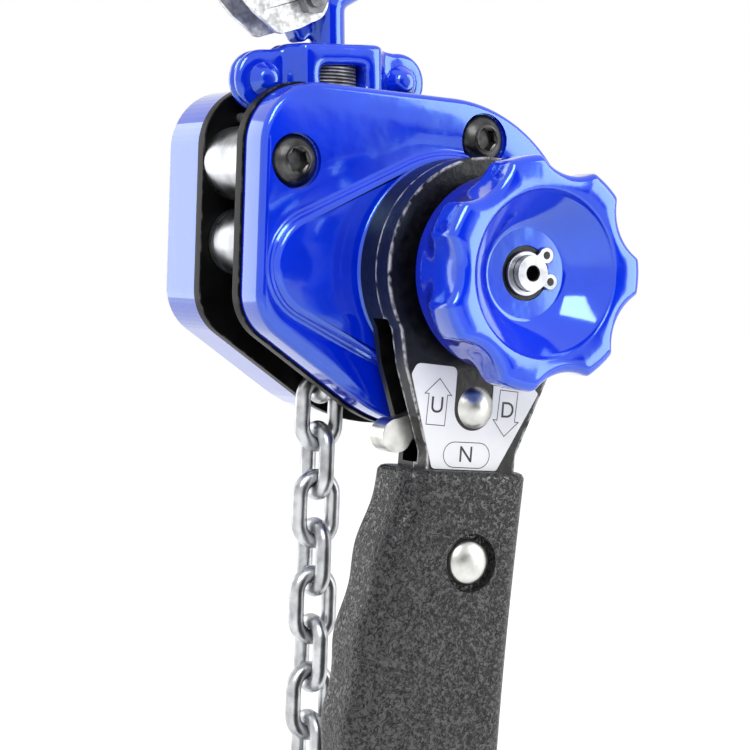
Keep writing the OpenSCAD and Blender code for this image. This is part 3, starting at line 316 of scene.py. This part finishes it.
# ---------- building helpers ----------
def mesh_object(name, verts, faces, mat, body, smooth_deg=40.0):
    """A mesh from points in metres, smooth but for edges sharper than smooth_deg."""
    me = bpy.data.meshes.new(name)
    me.from_pydata([tuple(v) for v in verts], [], faces)
    bm = bmesh.new()
    bm.from_mesh(me)
    bmesh.ops.recalc_face_normals(bm, faces=bm.faces)
    bm.to_mesh(me)
    bm.free()
    me.polygons.foreach_set("use_smooth", [True] * len(me.polygons))
    me.set_sharp_from_angle(angle=math.radians(smooth_deg))
    me.materials.append(mat)
    obj = add_object(name, me)
    if body:
        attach(obj, body)
    return obj


def loft(name, rings, mat, body, smooth_deg=40.0, caps=(True, True), place=front):
    """Skin over rings of equally many points (x, y, z in mm of the given frame)."""
    k = len(rings[0])
    verts = [place(*p) for r in rings for p in r]
    faces = []
    for i in range(len(rings) - 1):
        for j in range(k):
            a, b = i * k + j, i * k + (j + 1) % k
            faces.append((a, b, b + k, a + k))
    for end, capped in zip((0, len(rings) - 1), caps):
        if capped:
            middle = len(verts)
            verts.append(place(*(sum(p[i] for p in rings[end]) / k for i in range(3))))
            faces += [(end * k + j, end * k + (j + 1) % k, middle) for j in range(k)]
    return mesh_object(name, verts, faces, mat, body, smooth_deg)


def plate_skin(name, outline, z0, z1, mat, body, place=front, round_by=0.12):
    """Flat plate with softened edges, from an outline of points in order round it."""
    verts = [place(x, y, z) for z in (z0, z1) for x, y in outline]
    n = len(outline)
    faces = [tuple(range(n)), tuple(range(2 * n - 1, n - 1, -1))]
    faces += [(i, (i + 1) % n, n + (i + 1) % n, n + i) for i in range(n)]
    obj = mesh_object(name, verts, faces, mat, body, 30)
    bevel = obj.modifiers.new("bevel", "BEVEL")
    bevel.width = round_by * MM
    bevel.segments = 2
    bevel.limit_method = "ANGLE"
    bevel.angle_limit = math.radians(50)
    return obj


def cut(obj, tools):
    """Cuts cylinders out of a piece and removes them."""
    for t in tools:
        mod = obj.modifiers.new("cut", "BOOLEAN")
        mod.operation = "DIFFERENCE"
        mod.solver = "EXACT"
        mod.object = t
    dg = bpy.context.evaluated_depsgraph_get()
    me = bpy.data.meshes.new_from_object(obj.evaluated_get(dg))
    obj.modifiers.clear()
    obj.data = me
    for t in tools:
        bpy.data.objects.remove(t)
    me.set_sharp_from_angle(angle=math.radians(38))


def cutter(name, r, z0, z1, x, y, place=front):
    """Cylinder for cut()."""
    return loft(name, [circle_ring(r, z, 48, x, y) for z in (z0, z1)], BLUE, None, place=place)


# ---------- rings and outlines ----------
COVER_POINTS, WHEEL_POINTS, SCREW_POINTS = 240, 280, 96


def circle_ring(r, z, n, x=0.0, y=0.0):
    """n points round a circle at height z."""
    return [(x + r * math.cos(2 * math.pi * i / n), y + r * math.sin(2 * math.pi * i / n), z)
            for i in range(n)]


def turned(profile, n):
    """Rings of a turned shape, from pairs of radius and height."""
    return [circle_ring(r, z, n) for r, z in profile]


def outline_ring(circles, grow, z, n=COVER_POINTS):
    """Points round the hull of circles (x, y, r) by the direction of their normal, n of them."""
    pts = []
    for i in range(n):
        a = 2 * math.pi * i / n
        c, s = math.cos(a), math.sin(a)
        x, y, r = max(circles, key=lambda q: q[0] * c + q[1] * s + q[2])
        pts.append((x + (r + grow) * c, y + (r + grow) * s, z))
    return pts


def blend_ring(outer, inner, share, crown):
    """Ring part of the way from outer to inner, raised by the crown in between."""
    lift = crown * math.sin(math.pi * share) ** 0.7
    return [(a[0] + (b[0] - a[0]) * share, a[1] + (b[1] - a[1]) * share,
             a[2] + (b[2] - a[2]) * share + lift) for a, b in zip(outer, inner)]


def arc_points(x, y, r, start, end, n):
    """Points on an arc of n steps, angles in degrees."""
    return [(x + r * math.cos(math.radians(start + (end - start) * i / n)),
             y + r * math.sin(math.radians(start + (end - start) * i / n))) for i in range(n + 1)]


def polar(r, degrees):
    """The point (x, y) at this radius and angle."""
    return (r * math.cos(math.radians(degrees)), r * math.sin(math.radians(degrees)))


QUARTER = [math.radians(a) for a in range(0, 91, 15)]
QUARTER_COARSE = QUARTER[::2]


def crest(at, z, r, steps=QUARTER):
    """Rounded edge of radius r as pairs of offset and height, from offset at up to height z."""
    return [(at - r * (1 - math.cos(a)), z - r + r * math.sin(a)) for a in steps]


def fillet(at, z, r, rise, steps=QUARTER):
    """Hollow corner as pairs of offset and height, from height z in to offset at."""
    return [(at + r * (1 - math.sin(a)), z + rise * (1 - math.cos(a))) for a in steps]


# ---------- front cover: one skin with its fillets ----------
PLATE_C = [(0, 1.5, 41.0), (-36.0, 28.1, 15.5), (-38.5, -6.5, 13.0)]
DROP_C = [(0, 0, 28.5), (-35.3, 0, 13.3)]
SCREWS = [(-42.3, 24.3), (9.9, 32.2), (0.0, -33.0)]
SPOT_R, COLLAR_R, COVER_BORE_R = 6.55, 15.6, 13.5
FLAT_EDGE, FLAT_CROWN = -2.3, 0.45
rings = [outline_ring(PLATE_C, grow, z)
         for grow, z in [(-2.9, PLATE_OUT), (-0.8, PLATE_OUT), (-0.6, PLATE_OUT + 0.2)]]
rings += [outline_ring(PLATE_C, grow, z) for grow, z in crest(-0.6, FLAT_Z, 1.7)]
rings += [blend_ring(outline_ring(PLATE_C, FLAT_EDGE, FLAT_Z), outline_ring(DROP_C, 0.9, FLAT_Z),
                     k / 8, FLAT_CROWN) for k in range(1, 8)]
rings += [outline_ring(DROP_C, grow, z)
          for grow, z in fillet(0, FLAT_Z, 0.9, 0.9) + crest(-0.5, STEP_Z, 1.6)]
rings += turned(fillet(26.1, STEP_Z, 0.8, 0.4, QUARTER_COARSE)
                + crest(26.0, RIM_Z, 0.7, QUARTER_COARSE)
                + [(16.4, RIM_Z), (COLLAR_R, RIM_Z + 0.4), (COLLAR_R, COLLAR_Z),
                   (COVER_BORE_R, COLLAR_Z), (COVER_BORE_R, PLATE_OUT + 0.6)], COVER_POINTS)
cover = loft("front_cover_skin", rings, BLUE, "casing", 30, caps=(False, False))
cut(cover, [cutter("spot%d" % i, SPOT_R, SPOT_Z, STEP_Z, x, y)
            for i, (x, y) in enumerate(SCREWS)])
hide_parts("front_cover")

# ---------- handwheel ----------
WHEEL_R, VALLEY_R, WHEEL_BACK_R = 27.0, 23.4, 22.9
LOBES, FIRST_LOBE, TIP_HALF = 7, math.radians(103), math.radians(9.0)
HUB_R, RECESS_R, BOSS_R, BORE_R = 12.0, 17.0, 9.8, 4.12
RECESS_Z, BOSS_BACK_Z, GROOVE_Z = 45.0, 34.7, 54.6
DISH_R, DISH_RUN, DISH_Z, DISH_DROP, DISH_STEPS = 19.2, 8.6, 63.3, 8.0, 12


def lobe(t):
    """Radius of the lobed rim: scallops cut into the outer circle, their corners rounded."""
    half = math.pi / LOBES
    u = (t - FIRST_LOBE) % (2 * half)
    u = half - min(u, 2 * half - u)
    edge = half - TIP_HALF
    at = (WHEEL_R ** 2 - VALLEY_R ** 2) / (2 * (WHEEL_R * math.cos(edge) - VALLEY_R))
    size = at - VALLEY_R
    inside = size ** 2 - (at * math.sin(u)) ** 2
    scallop = at * math.cos(u) - math.sqrt(inside) if inside > 0 else WHEEL_R + 9
    soft = 0.22
    return -soft * math.log(math.exp(-WHEEL_R / soft)
                            + math.exp(-min(scallop, WHEEL_R + 5) / soft))


def wheel_ring(z, share, draw):
    """Ring between the round back, share 0, and the lobed rim, share 1, drawn in by draw."""
    pts = []
    for i in range(WHEEL_POINTS):
        t = 2 * math.pi * i / WHEEL_POINTS
        r = share * lobe(t) + (1 - share) * WHEEL_BACK_R - draw
        pts.append((r * math.cos(t), r * math.sin(t), z))
    return pts


rings = turned([(HUB_R, RECESS_Z), (RECESS_R, RECESS_Z), (RECESS_R + 0.5, WHEEL_BACK)],
               WHEEL_POINTS)
rings += [wheel_ring(WHEEL_BACK + 1.6 * (1 - math.cos(a)), 0.0, 1.6 * (1 - math.sin(a)))
          for a in QUARTER_COARSE]
rings += [wheel_ring(WHEEL_BACK + up_by, share, 0) for up_by, share in
          ((4, 0.02), (6, 0.12), (8, 0.4), (9.5, 0.7), (11, 0.9), (13, 1.0))]
rings += [wheel_ring(WHEEL_FACE - 1.9 + 1.9 * math.sin(a), 1.0, 2.2 * (1 - math.cos(a)))
          for a in QUARTER]
rings += turned([(DISH_R + 0.6 - 0.6 * math.sin(a), WHEEL_FACE - 0.6 * (1 - math.cos(a)))
                 for a in QUARTER_COARSE], WHEEL_POINTS)
rings += turned([(DISH_R - DISH_RUN * k / DISH_STEPS,
                  DISH_Z - DISH_DROP * (1 - (1 - k / DISH_STEPS) ** 1.35))
                 for k in range(1, DISH_STEPS + 1)], WHEEL_POINTS)
rings += turned([(10.4, WHEEL_FLOOR), (6.4, WHEEL_FLOOR), (6.3, GROOVE_Z), (BORE_R, GROOVE_Z),
                 (BORE_R, 50.0)], WHEEL_POINTS)
wheel = loft("handwheel_skin", rings, BLUE, "drive", 40, caps=(False, False))
rings = turned([(BORE_R, RECESS_Z), (HUB_R, RECESS_Z), (BOSS_R, WHEEL_BACK), (BOSS_R, BOSS_BACK_Z),
                (4.3, BOSS_BACK_Z)], 64)
hub = loft("handwheel_hub", rings, BLUE, "drive", 30, caps=(False, False))
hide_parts("handwheel")
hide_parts("handwheel")

# ---------- circlip, its groove and the hole in the shaft's end, with painted shade in the ear holes, groove and hole ---
CLIP_TURN, EAR_TURN = 12.0, 28  # degrees: the gap's direction, and each ear's from it
CLIP_Z, CLIP_T = 55.45, 0.95
CLIP_IN_R, CLIP_OUT_R, CLIP_OFF = 4.15, 5.15, 0.45
EAR_AT, EAR_R, EAR_HOLE_R = 6.6, 1.9, 0.95
ears = [polar(EAR_AT, CLIP_TURN + k * EAR_TURN) for k in (1, -1)]
clip = arc_points(0, 0, CLIP_IN_R, CLIP_TURN + 22, CLIP_TURN + 338, 40)
clip += arc_points(*ears[1], EAR_R, CLIP_TURN + 137, CLIP_TURN - 148, 14)
clip += arc_points(*polar(-CLIP_OFF, CLIP_TURN), CLIP_OUT_R, CLIP_TURN + 316, CLIP_TURN + 44, 40)
clip += arc_points(*ears[0], EAR_R, CLIP_TURN + 148, CLIP_TURN - 137, 14)
clip_skin = plate_skin("circlip_skin", clip, CLIP_Z, CLIP_Z + CLIP_T, MACHINED, "drive")
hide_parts("circlip")
# Black discs on the ears stand in for their holes: painted shade
for k, (x, y) in enumerate(ears):
    ear_hole_shade = plate_skin("circlip_ear_hole_shade_%d" % k, arc_points(x, y, EAR_HOLE_R, 0, 345, 23), CLIP_Z + 0.9,
                     CLIP_Z + 0.97, BLACK, "drive", round_by=0.005)
# The groove's ring is black: painted shade in the recess round the shaft under the clip
rings = turned([(4.15, 54.62), (6.25, 54.62), (6.25, 55.2), (4.15, 55.2)], 96)
groove_shade = loft("circlip_groove_shade", rings, BLACK, "drive", 30, caps=(False, False))
# The hole in the shaft's end is lined black: painted shade
rings = turned([(1.86, SHAFT_TIP - 3.95), (1.86, SHAFT_TIP - 0.35), (1.7, SHAFT_TIP - 0.35),
                (1.6, SHAFT_TIP - 3.6)], 48)
end_hole_shade = loft("shaft_end_hole_shade", rings, BLACK, "drive", 30)

# ---------- grip: distances d run down the lever from the shaft ----------
GRIP_TOP, GRIP_END, GRIP_RIVET_Y = 47.2, 160, -68.7
GRIP_RUN, GRIP_MOUTH, GRIP_ROUND, GRIP_STEPS = GRIP_END - GRIP_TOP, 1.2, 3.0, 90
FINGER_X, PALM_X, SWELL, WAIST = -18.4, 15.8, 10.0, 1.5
GROOVE, GROOVE_PITCH, FIRST_GROOVE = 1.2, 21, 55.2
RUBBER_T, RUBBER_BACK, GRIP_CORNER = 3.4, 2.38, 5.4
WELL_R, WELL_BACK_R = 7.0, 6.3


def swell(d):
    """How far the finger side stands out past its top."""
    t = (d - GRIP_TOP) / GRIP_RUN
    s = SWELL * math.sin(min(1.0, t / 0.55) * math.pi / 2)
    return s * (1.0 if t < 0.7 else 1 - 0.7 * ((t - 0.7) / 0.3) ** 2)


def finger_x(d):
    """Left side of the grip, with its finger grooves."""
    wave = GROOVE * (1 - math.cos(2 * math.pi * (d - FIRST_GROOVE) / GROOVE_PITCH)) / 2
    return FINGER_X - swell(d) - wave + GROOVE / 2


def palm_x(d):
    """Right side of the grip."""
    return PALM_X - WAIST * math.sin(math.pi * (d - GRIP_TOP) / GRIP_RUN)


def grip_ring(d, e):
    """Section of the grip at d, drawn in by e on every side."""
    left, right_x = finger_x(d) + e, palm_x(d) - e
    back, face = LEVER_BACK - RUBBER_BACK + e, LEVER_FACE + RUBBER_T - e
    q = GRIP_CORNER - 0.4 * e
    pts = []
    corners = ((right_x, face, 0), (left, face, 90), (left, back, 180), (right_x, back, 270))
    for cx, cz, w in corners:
        for t in range(0, 91, 9):
            a = math.radians(w + t)
            u = cx - q if cx == right_x else cx + q
            v = cz - q if cz == face else cz + q
            pts.append((u + q * math.cos(a), -d, v + q * math.sin(a)))
    return pts


rings = [grip_ring(d, e) for d, e in
         [(GRIP_TOP, GRIP_ROUND), (GRIP_TOP, GRIP_MOUTH), (GRIP_TOP + 0.3, 0.5)]]
rings += [grip_ring(GRIP_TOP + GRIP_MOUTH
                    + i * (GRIP_RUN - GRIP_MOUTH - GRIP_ROUND) / GRIP_STEPS, 0.0)
          for i in range(GRIP_STEPS + 1)]
rings += [grip_ring(GRIP_END - GRIP_ROUND + GRIP_ROUND * math.sin(a),
                    GRIP_ROUND * (1 - math.cos(a))) for a in QUARTER[1:]]
grip = loft("grip_skin", rings, GRIP, "lever", 60, place=lever)
cut(grip, [cutter("g0", WELL_R, 40.6, 50.0, 0.0, GRIP_RIVET_Y, place=lever),
           cutter("g1", WELL_BACK_R, 15.0, 25.3, 0.0, GRIP_RIVET_Y, place=lever)])
RIVET_R, RIVET_Z, RIVET_DOME = 5.6, 40.9, 2.5
rings = [circle_ring(RIVET_R, RIVET_Z - 1.3, 96, 0.0, GRIP_RIVET_Y)]
rings += [circle_ring(RIVET_R * math.cos(a), RIVET_Z + RIVET_DOME * math.sin(a), 96, 0.0,
                      GRIP_RIVET_Y) for a in QUARTER[:-1]]
rivet = loft("grip_rivet_head", rings, SATIN, "lever", 60, place=lever)
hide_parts("grip")


# ---------- label: letters and arrows ----------
def flat_shape(name, loops, z, mat, body):
    """Flat faces in the lever's frame, each loop a filled outline."""
    verts, faces = [], []
    for loop in loops:
        base = len(verts)
        verts += [lever(x, y, z) for x, y in loop]
        faces.append(tuple(range(base, base + len(loop))))
    return mesh_object(name, verts, faces, mat, body)


def stroke(points, width):
    """Quads along a closed line of points, mitred, as loops for flat_shape."""
    n = len(points)
    ins, outs = [], []
    for i, (x, y) in enumerate(points):
        a, b = points[i - 1], points[(i + 1) % n]
        d1 = Vector((x - a[0], y - a[1])).normalized()
        d2 = Vector((b[0] - x, b[1] - y)).normalized()
        m = Vector((-(d1.y + d2.y), d1.x + d2.x)).normalized()
        k = width / 2 / max(0.35, m.dot(Vector((-d1.y, d1.x))))
        ins.append((x + m.x * k, y + m.y * k))
        outs.append((x - m.x * k, y - m.y * k))
    return [[ins[i], outs[i], outs[(i + 1) % n], ins[(i + 1) % n]] for i in range(n)]


def rounded(points, radii, n=6):
    """The polygon's corners replaced by curves of about the given radii, in n steps each."""
    out = []
    for i, (p, rad) in enumerate(zip(points, radii)):
        if not rad:
            out.append(p)
            continue
        v = Vector(p)
        before = (Vector(points[i - 1]) - v).normalized()
        after = (Vector(points[(i + 1) % len(points)]) - v).normalized()
        reach = rad / math.tan(before.angle(after) / 2)
        a, b = v + before * reach, v + after * reach
        for k in range(n + 1):
            t = k / n
            out.append(tuple(a * (1 - t) ** 2 + v * 2 * t * (1 - t) + b * t ** 2))
    return out


def arrow(cx, cy, w, up_sign, lean):
    """Outline of an arrow that points up, or down where up_sign is -1."""
    tip, neck, shaft = ARROW_H / 2, ARROW_H / 2 - ARROW_HEAD, w * 0.35
    pts = [(-shaft, -tip), (shaft, -tip), (shaft, neck), (w / 2, neck), (0, tip), (-w / 2, neck),
           (-shaft, neck)]
    c, s = math.cos(lean), math.sin(lean)
    return [(cx + x * c - up_sign * y * s, cy + x * s + up_sign * y * c) for x, y in pts]


def pill(cx, cy, w, h, n=10):
    """Outline of a bar with round ends of n steps."""
    pts = []
    for i in range(2 * n + 2):
        half = 1 if i <= n else -1
        a = -math.pi / 2 + math.pi * (i % (n + 1)) / n + (0 if half == 1 else math.pi)
        pts.append((cx + half * (w / 2 - h / 2) + h / 2 * math.cos(a), cy + h / 2 * math.sin(a)))
    return pts


def letter(name, text, x, y):
    """One flat letter on the label."""
    cu = bpy.data.curves.new(name, "FONT")
    cu.body = text
    cu.size = LETTER_SIZE
    cu.align_x = "CENTER"
    cu.align_y = "CENTER"
    cu.offset = 0.02
    tmp = add_object(name, cu)
    dg = bpy.context.evaluated_depsgraph_get()
    me = bpy.data.meshes.new_from_object(tmp.evaluated_get(dg))
    bpy.data.objects.remove(tmp)
    for v in me.vertices:
        v.co = lever(x + v.co.x, y + v.co.y, INK_Z)
    me.materials.clear()
    me.materials.append(INK)
    obj = add_object(name, me)
    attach(obj, "lever")


LABEL_T = 0.25
INK_Z = LEVER_FACE + LABEL_T + 0.03
LINE_W, LETTER_SIZE = 0.2, 5.4
ARROW_H, ARROW_HEAD = 10.9, 3.7
HOLE_X, HOLE_Y, HOLE_R = -0.8, -32.4, 5.3
label_side = [(HOLE_X - HOLE_R, -22.9), (-17.2, -22.5), (-18.6, -25.2), (-11.1, -47.0),
              (7.1, -47.0), (17.6, -28.0), (15.6, -26.4), (HOLE_X + HOLE_R, -24.0)]
side_radii = [1.7, 1.9, 1.2, 1.2, 1.2, 0.8, 0.8, 1.7]
label_hole = arc_points(HOLE_X, HOLE_Y, HOLE_R, 0, -180, 28)
label_edge = rounded(label_side + label_hole, side_radii + [0] * len(label_hole))
label_skin = plate_skin("label_skin", label_edge, LEVER_FACE, LEVER_FACE + LABEL_T, LABEL, "lever",
                        place=lever, round_by=0.04)
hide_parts("label_plate")
loops = stroke(arrow(-10.95, -31.3, 7.4, 1, -0.03), LINE_W)
loops += stroke(arrow(8.8, -33.2, 7.3, -1, -0.05), LINE_W)
loops += stroke(pill(-1.7, -43.5, 13.0, 6.0), LINE_W)
flat = flat_shape("label_lines", loops, INK_Z, INK, "lever")
letter("letter_u", "U", -11.0, -32.2)
letter("letter_d", "D", 8.95, -32.5)
letter("letter_n", "N", -1.9, -43.5)


# ---------- edges of the CAD nodes that stay ----------
def soften(name, width):
    """Bevels a CAD node's edges by width mm, by modifiers alone."""
    obj = nodes[name]
    weld = obj.modifiers.new("weld", "WELD")
    weld.merge_threshold = 0.000002
    bev = obj.modifiers.new("bevel", "BEVEL")
    bev.width = width * MM
    bev.segments = 3
    bev.limit_method = "ANGLE"
    bev.angle_limit = math.radians(35.0)
    bev.harden_normals = False
    obj.data.polygons.foreach_set("use_smooth", [True] * len(obj.data.polygons))
    sm = obj.modifiers.new("normals", "WEIGHTED_NORMAL")
    sm.keep_sharp = False


def as_cast(obj, voxel, rounds):
    """Rounded like a painted casting: one skin of even cells, smoothed."""
    remesh = obj.modifiers.new("cells", "REMESH")
    remesh.mode = "VOXEL"
    remesh.voxel_size = voxel * MM
    remesh.use_smooth_shade = True
    smooth = obj.modifiers.new("smooth", "SMOOTH")
    smooth.factor = 0.5
    smooth.iterations = rounds


for name, width in (("lever_front_shell", 0.35), ("lever_rear_shell", 0.35),
                    ("front_plate", 0.25), ("rear_plate", 0.25), ("top_latch", 0.25),
                    ("bottom_latch", 0.25), ("selector_pawl", 0.5)):
    soften(name, width)
for name, voxel, rounds in (("top_hook", 0.5, 10), ("bottom_hook", 0.5, 10),
                            ("bottom_yoke_front", 0.4, 60), ("bottom_yoke_rear", 0.4, 60),
                            ("top_yoke_rivets", 0.25, 60), ("bottom_yoke_rivets", 0.25, 60)):
    as_cast(nodes[name], voxel, rounds)


# ---------- top yoke: the CAD solid with webs that flow from its lobes up to the block ----------
def yoke(x, y, z):
    """A point in the top yoke's frame, origin on the suspension pin."""
    c, s = math.cos(LEAN), math.sin(LEAN)
    return Vector((x * c - (y - HOOK_DROP) * s, -z, x * s + (y - HOOK_DROP) * c)) * MM


RIVET_X, RIVET_UP, BLOCK_X, BLOCK_TOP = 19.1, 11.7, 10.5, 20.5
WEB_IN, WEB_OUT = 0.05, 3.1
WEB = [(RIVET_X + 2.6, RIVET_UP + 6.6), (BLOCK_X + 1.5, BLOCK_TOP - 0.6),
       (BLOCK_X - 1.5, BLOCK_TOP - 0.6), (BLOCK_X - 1.5, RIVET_UP - 3.5),
       (RIVET_X, RIVET_UP - 3.5)]
for half, facing in (("top_yoke_front", 1), ("top_yoke_rear", -1)):
    bm = bmesh.new()
    bm.from_mesh(nodes[half].data)
    for side_x in (1, -1):
        low_ring = [bm.verts.new(yoke(side_x * x, y, facing * WEB_IN)) for x, y in WEB]
        high_ring = [bm.verts.new(yoke(side_x * x, y, facing * WEB_OUT)) for x, y in WEB]
        bm.faces.new(low_ring)
        bm.faces.new(high_ring)
        for i in range(len(WEB)):
            j = (i + 1) % len(WEB)
            bm.faces.new((low_ring[i], low_ring[j], high_ring[j], high_ring[i]))
    bmesh.ops.recalc_face_normals(bm, faces=bm.faces)
    me = bpy.data.meshes.new(half + "_skin")
    bm.to_mesh(me)
    bm.free()
    me.materials.append(BLUE)
    skin = add_object(half + "_skin", me)
    as_cast(skin, 0.4, 70)
    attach(skin, "yoke_top")
    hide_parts(half)

# ---------- selector's tab: a tongue with rounded edges over the CAD boss ----------
TAB_X, TAB_Y, TAB_R, TAB_FACE, TAB_FOOT = -18.2, -40.0, 4.0, 34.66, 30.6
tongue = [(TAB_X, TAB_Y, TAB_R), (TAB_X + 2.6, TAB_Y + 1.6, 3.3)]
rings = [outline_ring(tongue, -0.05, TAB_FOOT, 96), outline_ring(tongue, 0.0, TAB_FACE - 0.7, 96)]
rings += [outline_ring(tongue, -0.9 * (1 - math.cos(a)), TAB_FACE - 0.7 + 0.7 * math.sin(a), 96)
          for a in QUARTER[1:]]
tab = loft("selector_tab", rings, SATIN, "selector", 50, place=lever)

# ---------- heads of the cover screws: domed, with a turned rim round the hexagon ----------
HEAD_R, HEAD_H, HEAD_STEP = 6.2, 3.5, 0.2
SOCKET_RIM_R, SOCKET_R, SOCKET_DEPTH = 3.1, 2.75, 2.2
CAP_R = (HEAD_R ** 2 + HEAD_H ** 2) / (2 * HEAD_H)


def cap_z(r):
    """Height of the domed head at radius r, a little proud of the CAD head."""
    return SPOT_Z + HEAD_H - CAP_R + math.sqrt((CAP_R + 0.06) ** 2 - r ** 2)


def hexagon(corner_r, z, x, y):
    """Ring of a hexagon's outline."""
    pts = []
    for i in range(SCREW_POINTS):
        a = 2 * math.pi * i / SCREW_POINTS
        off = (a + math.radians(12)) % (math.pi / 3) - math.pi / 6
        d = corner_r * math.cos(math.pi / 6) / math.cos(off)
        pts.append((x + d * math.cos(a), y + d * math.sin(a), z))
    return pts


rim_z = cap_z(SOCKET_RIM_R + 0.3)
head = [(HEAD_R + 0.05 - HEAD_STEP * i, cap_z(HEAD_R - HEAD_STEP * i)) for i in range(15)]
head += [(SOCKET_RIM_R + 0.3, rim_z), (SOCKET_RIM_R + 0.1, rim_z + 0.1),
         (SOCKET_RIM_R - 0.1, rim_z)]
for k, (x, y) in enumerate(SCREWS):
    rings = [circle_ring(r, z, SCREW_POINTS, x, y) for r, z in head]
    rings += [hexagon(SOCKET_R, rim_z - depth, x, y) for depth in (0.45, SOCKET_DEPTH)]
    screw = loft("screw_head_%d" % k, rings, SCREW, "casing", 40, caps=(False, True))

# ---------- floor: it shows white, and keeps the object's shadow ----------
FLOOR_HALF, FLOOR_DROP, FLOOR_GLOW = 6, 0.012, 0.6
FLOOR = bpy.data.materials.new("floor_paper")
FLOOR.use_nodes = True
ground = FLOOR.node_tree
paper = ground.nodes["Principled BSDF"]
feed(paper, {"Base Color": (0.8, 0.8, 0.8, 1), "Roughness": 0.9, "Specular IOR Level": 0.0})
strength = math_node(ground, "MULTIPLY", backdrop_rays(ground)[1], FLOOR_GLOW)
glow = add_node(ground, "ShaderNodeEmission", {"Color": WHITE, "Strength": strength})
both = add_node(ground, "ShaderNodeAddShader", {0: paper.outputs[0], 1: glow.outputs[0]})
feed(ground.nodes["Material Output"], {"Surface": both.outputs[0]})
floor_z = CAD_BOX[0][2] - FLOOR_DROP
corners = [(-FLOOR_HALF, -FLOOR_HALF), (FLOOR_HALF, -FLOOR_HALF), (FLOOR_HALF, FLOOR_HALF),
           (-FLOOR_HALF, FLOOR_HALF)]
floor = mesh_object("floor", [(x, y, floor_z) for x, y in corners], [(0, 1, 2, 3)], FLOOR, None)

# ---------- lamps ----------
centre = front(0, 0, 10)


def lamp(name, offset, width, height, watts):
    """Soft box at this offset in metres from the casing, facing it."""
    data = bpy.data.lights.new(name, "AREA")
    data.shape = "RECTANGLE"
    data.size = width
    data.size_y = height
    data.energy = watts
    obj = add_object(name, data)
    at = centre + Vector(offset)
    obj.location = at
    obj.rotation_euler = (centre - at).to_track_quat("-Z", "Y").to_euler()


lamp("key", (-0.55, -0.75, 0.75), 0.55, 0.55, 9.0)
lamp("fill", (0.727, -0.654, 0.21), 0.5, 0.7, 4.5)
lamp("back_left", (-0.53, 1.08, 0.0), 0.6, 1.0, 3.3)
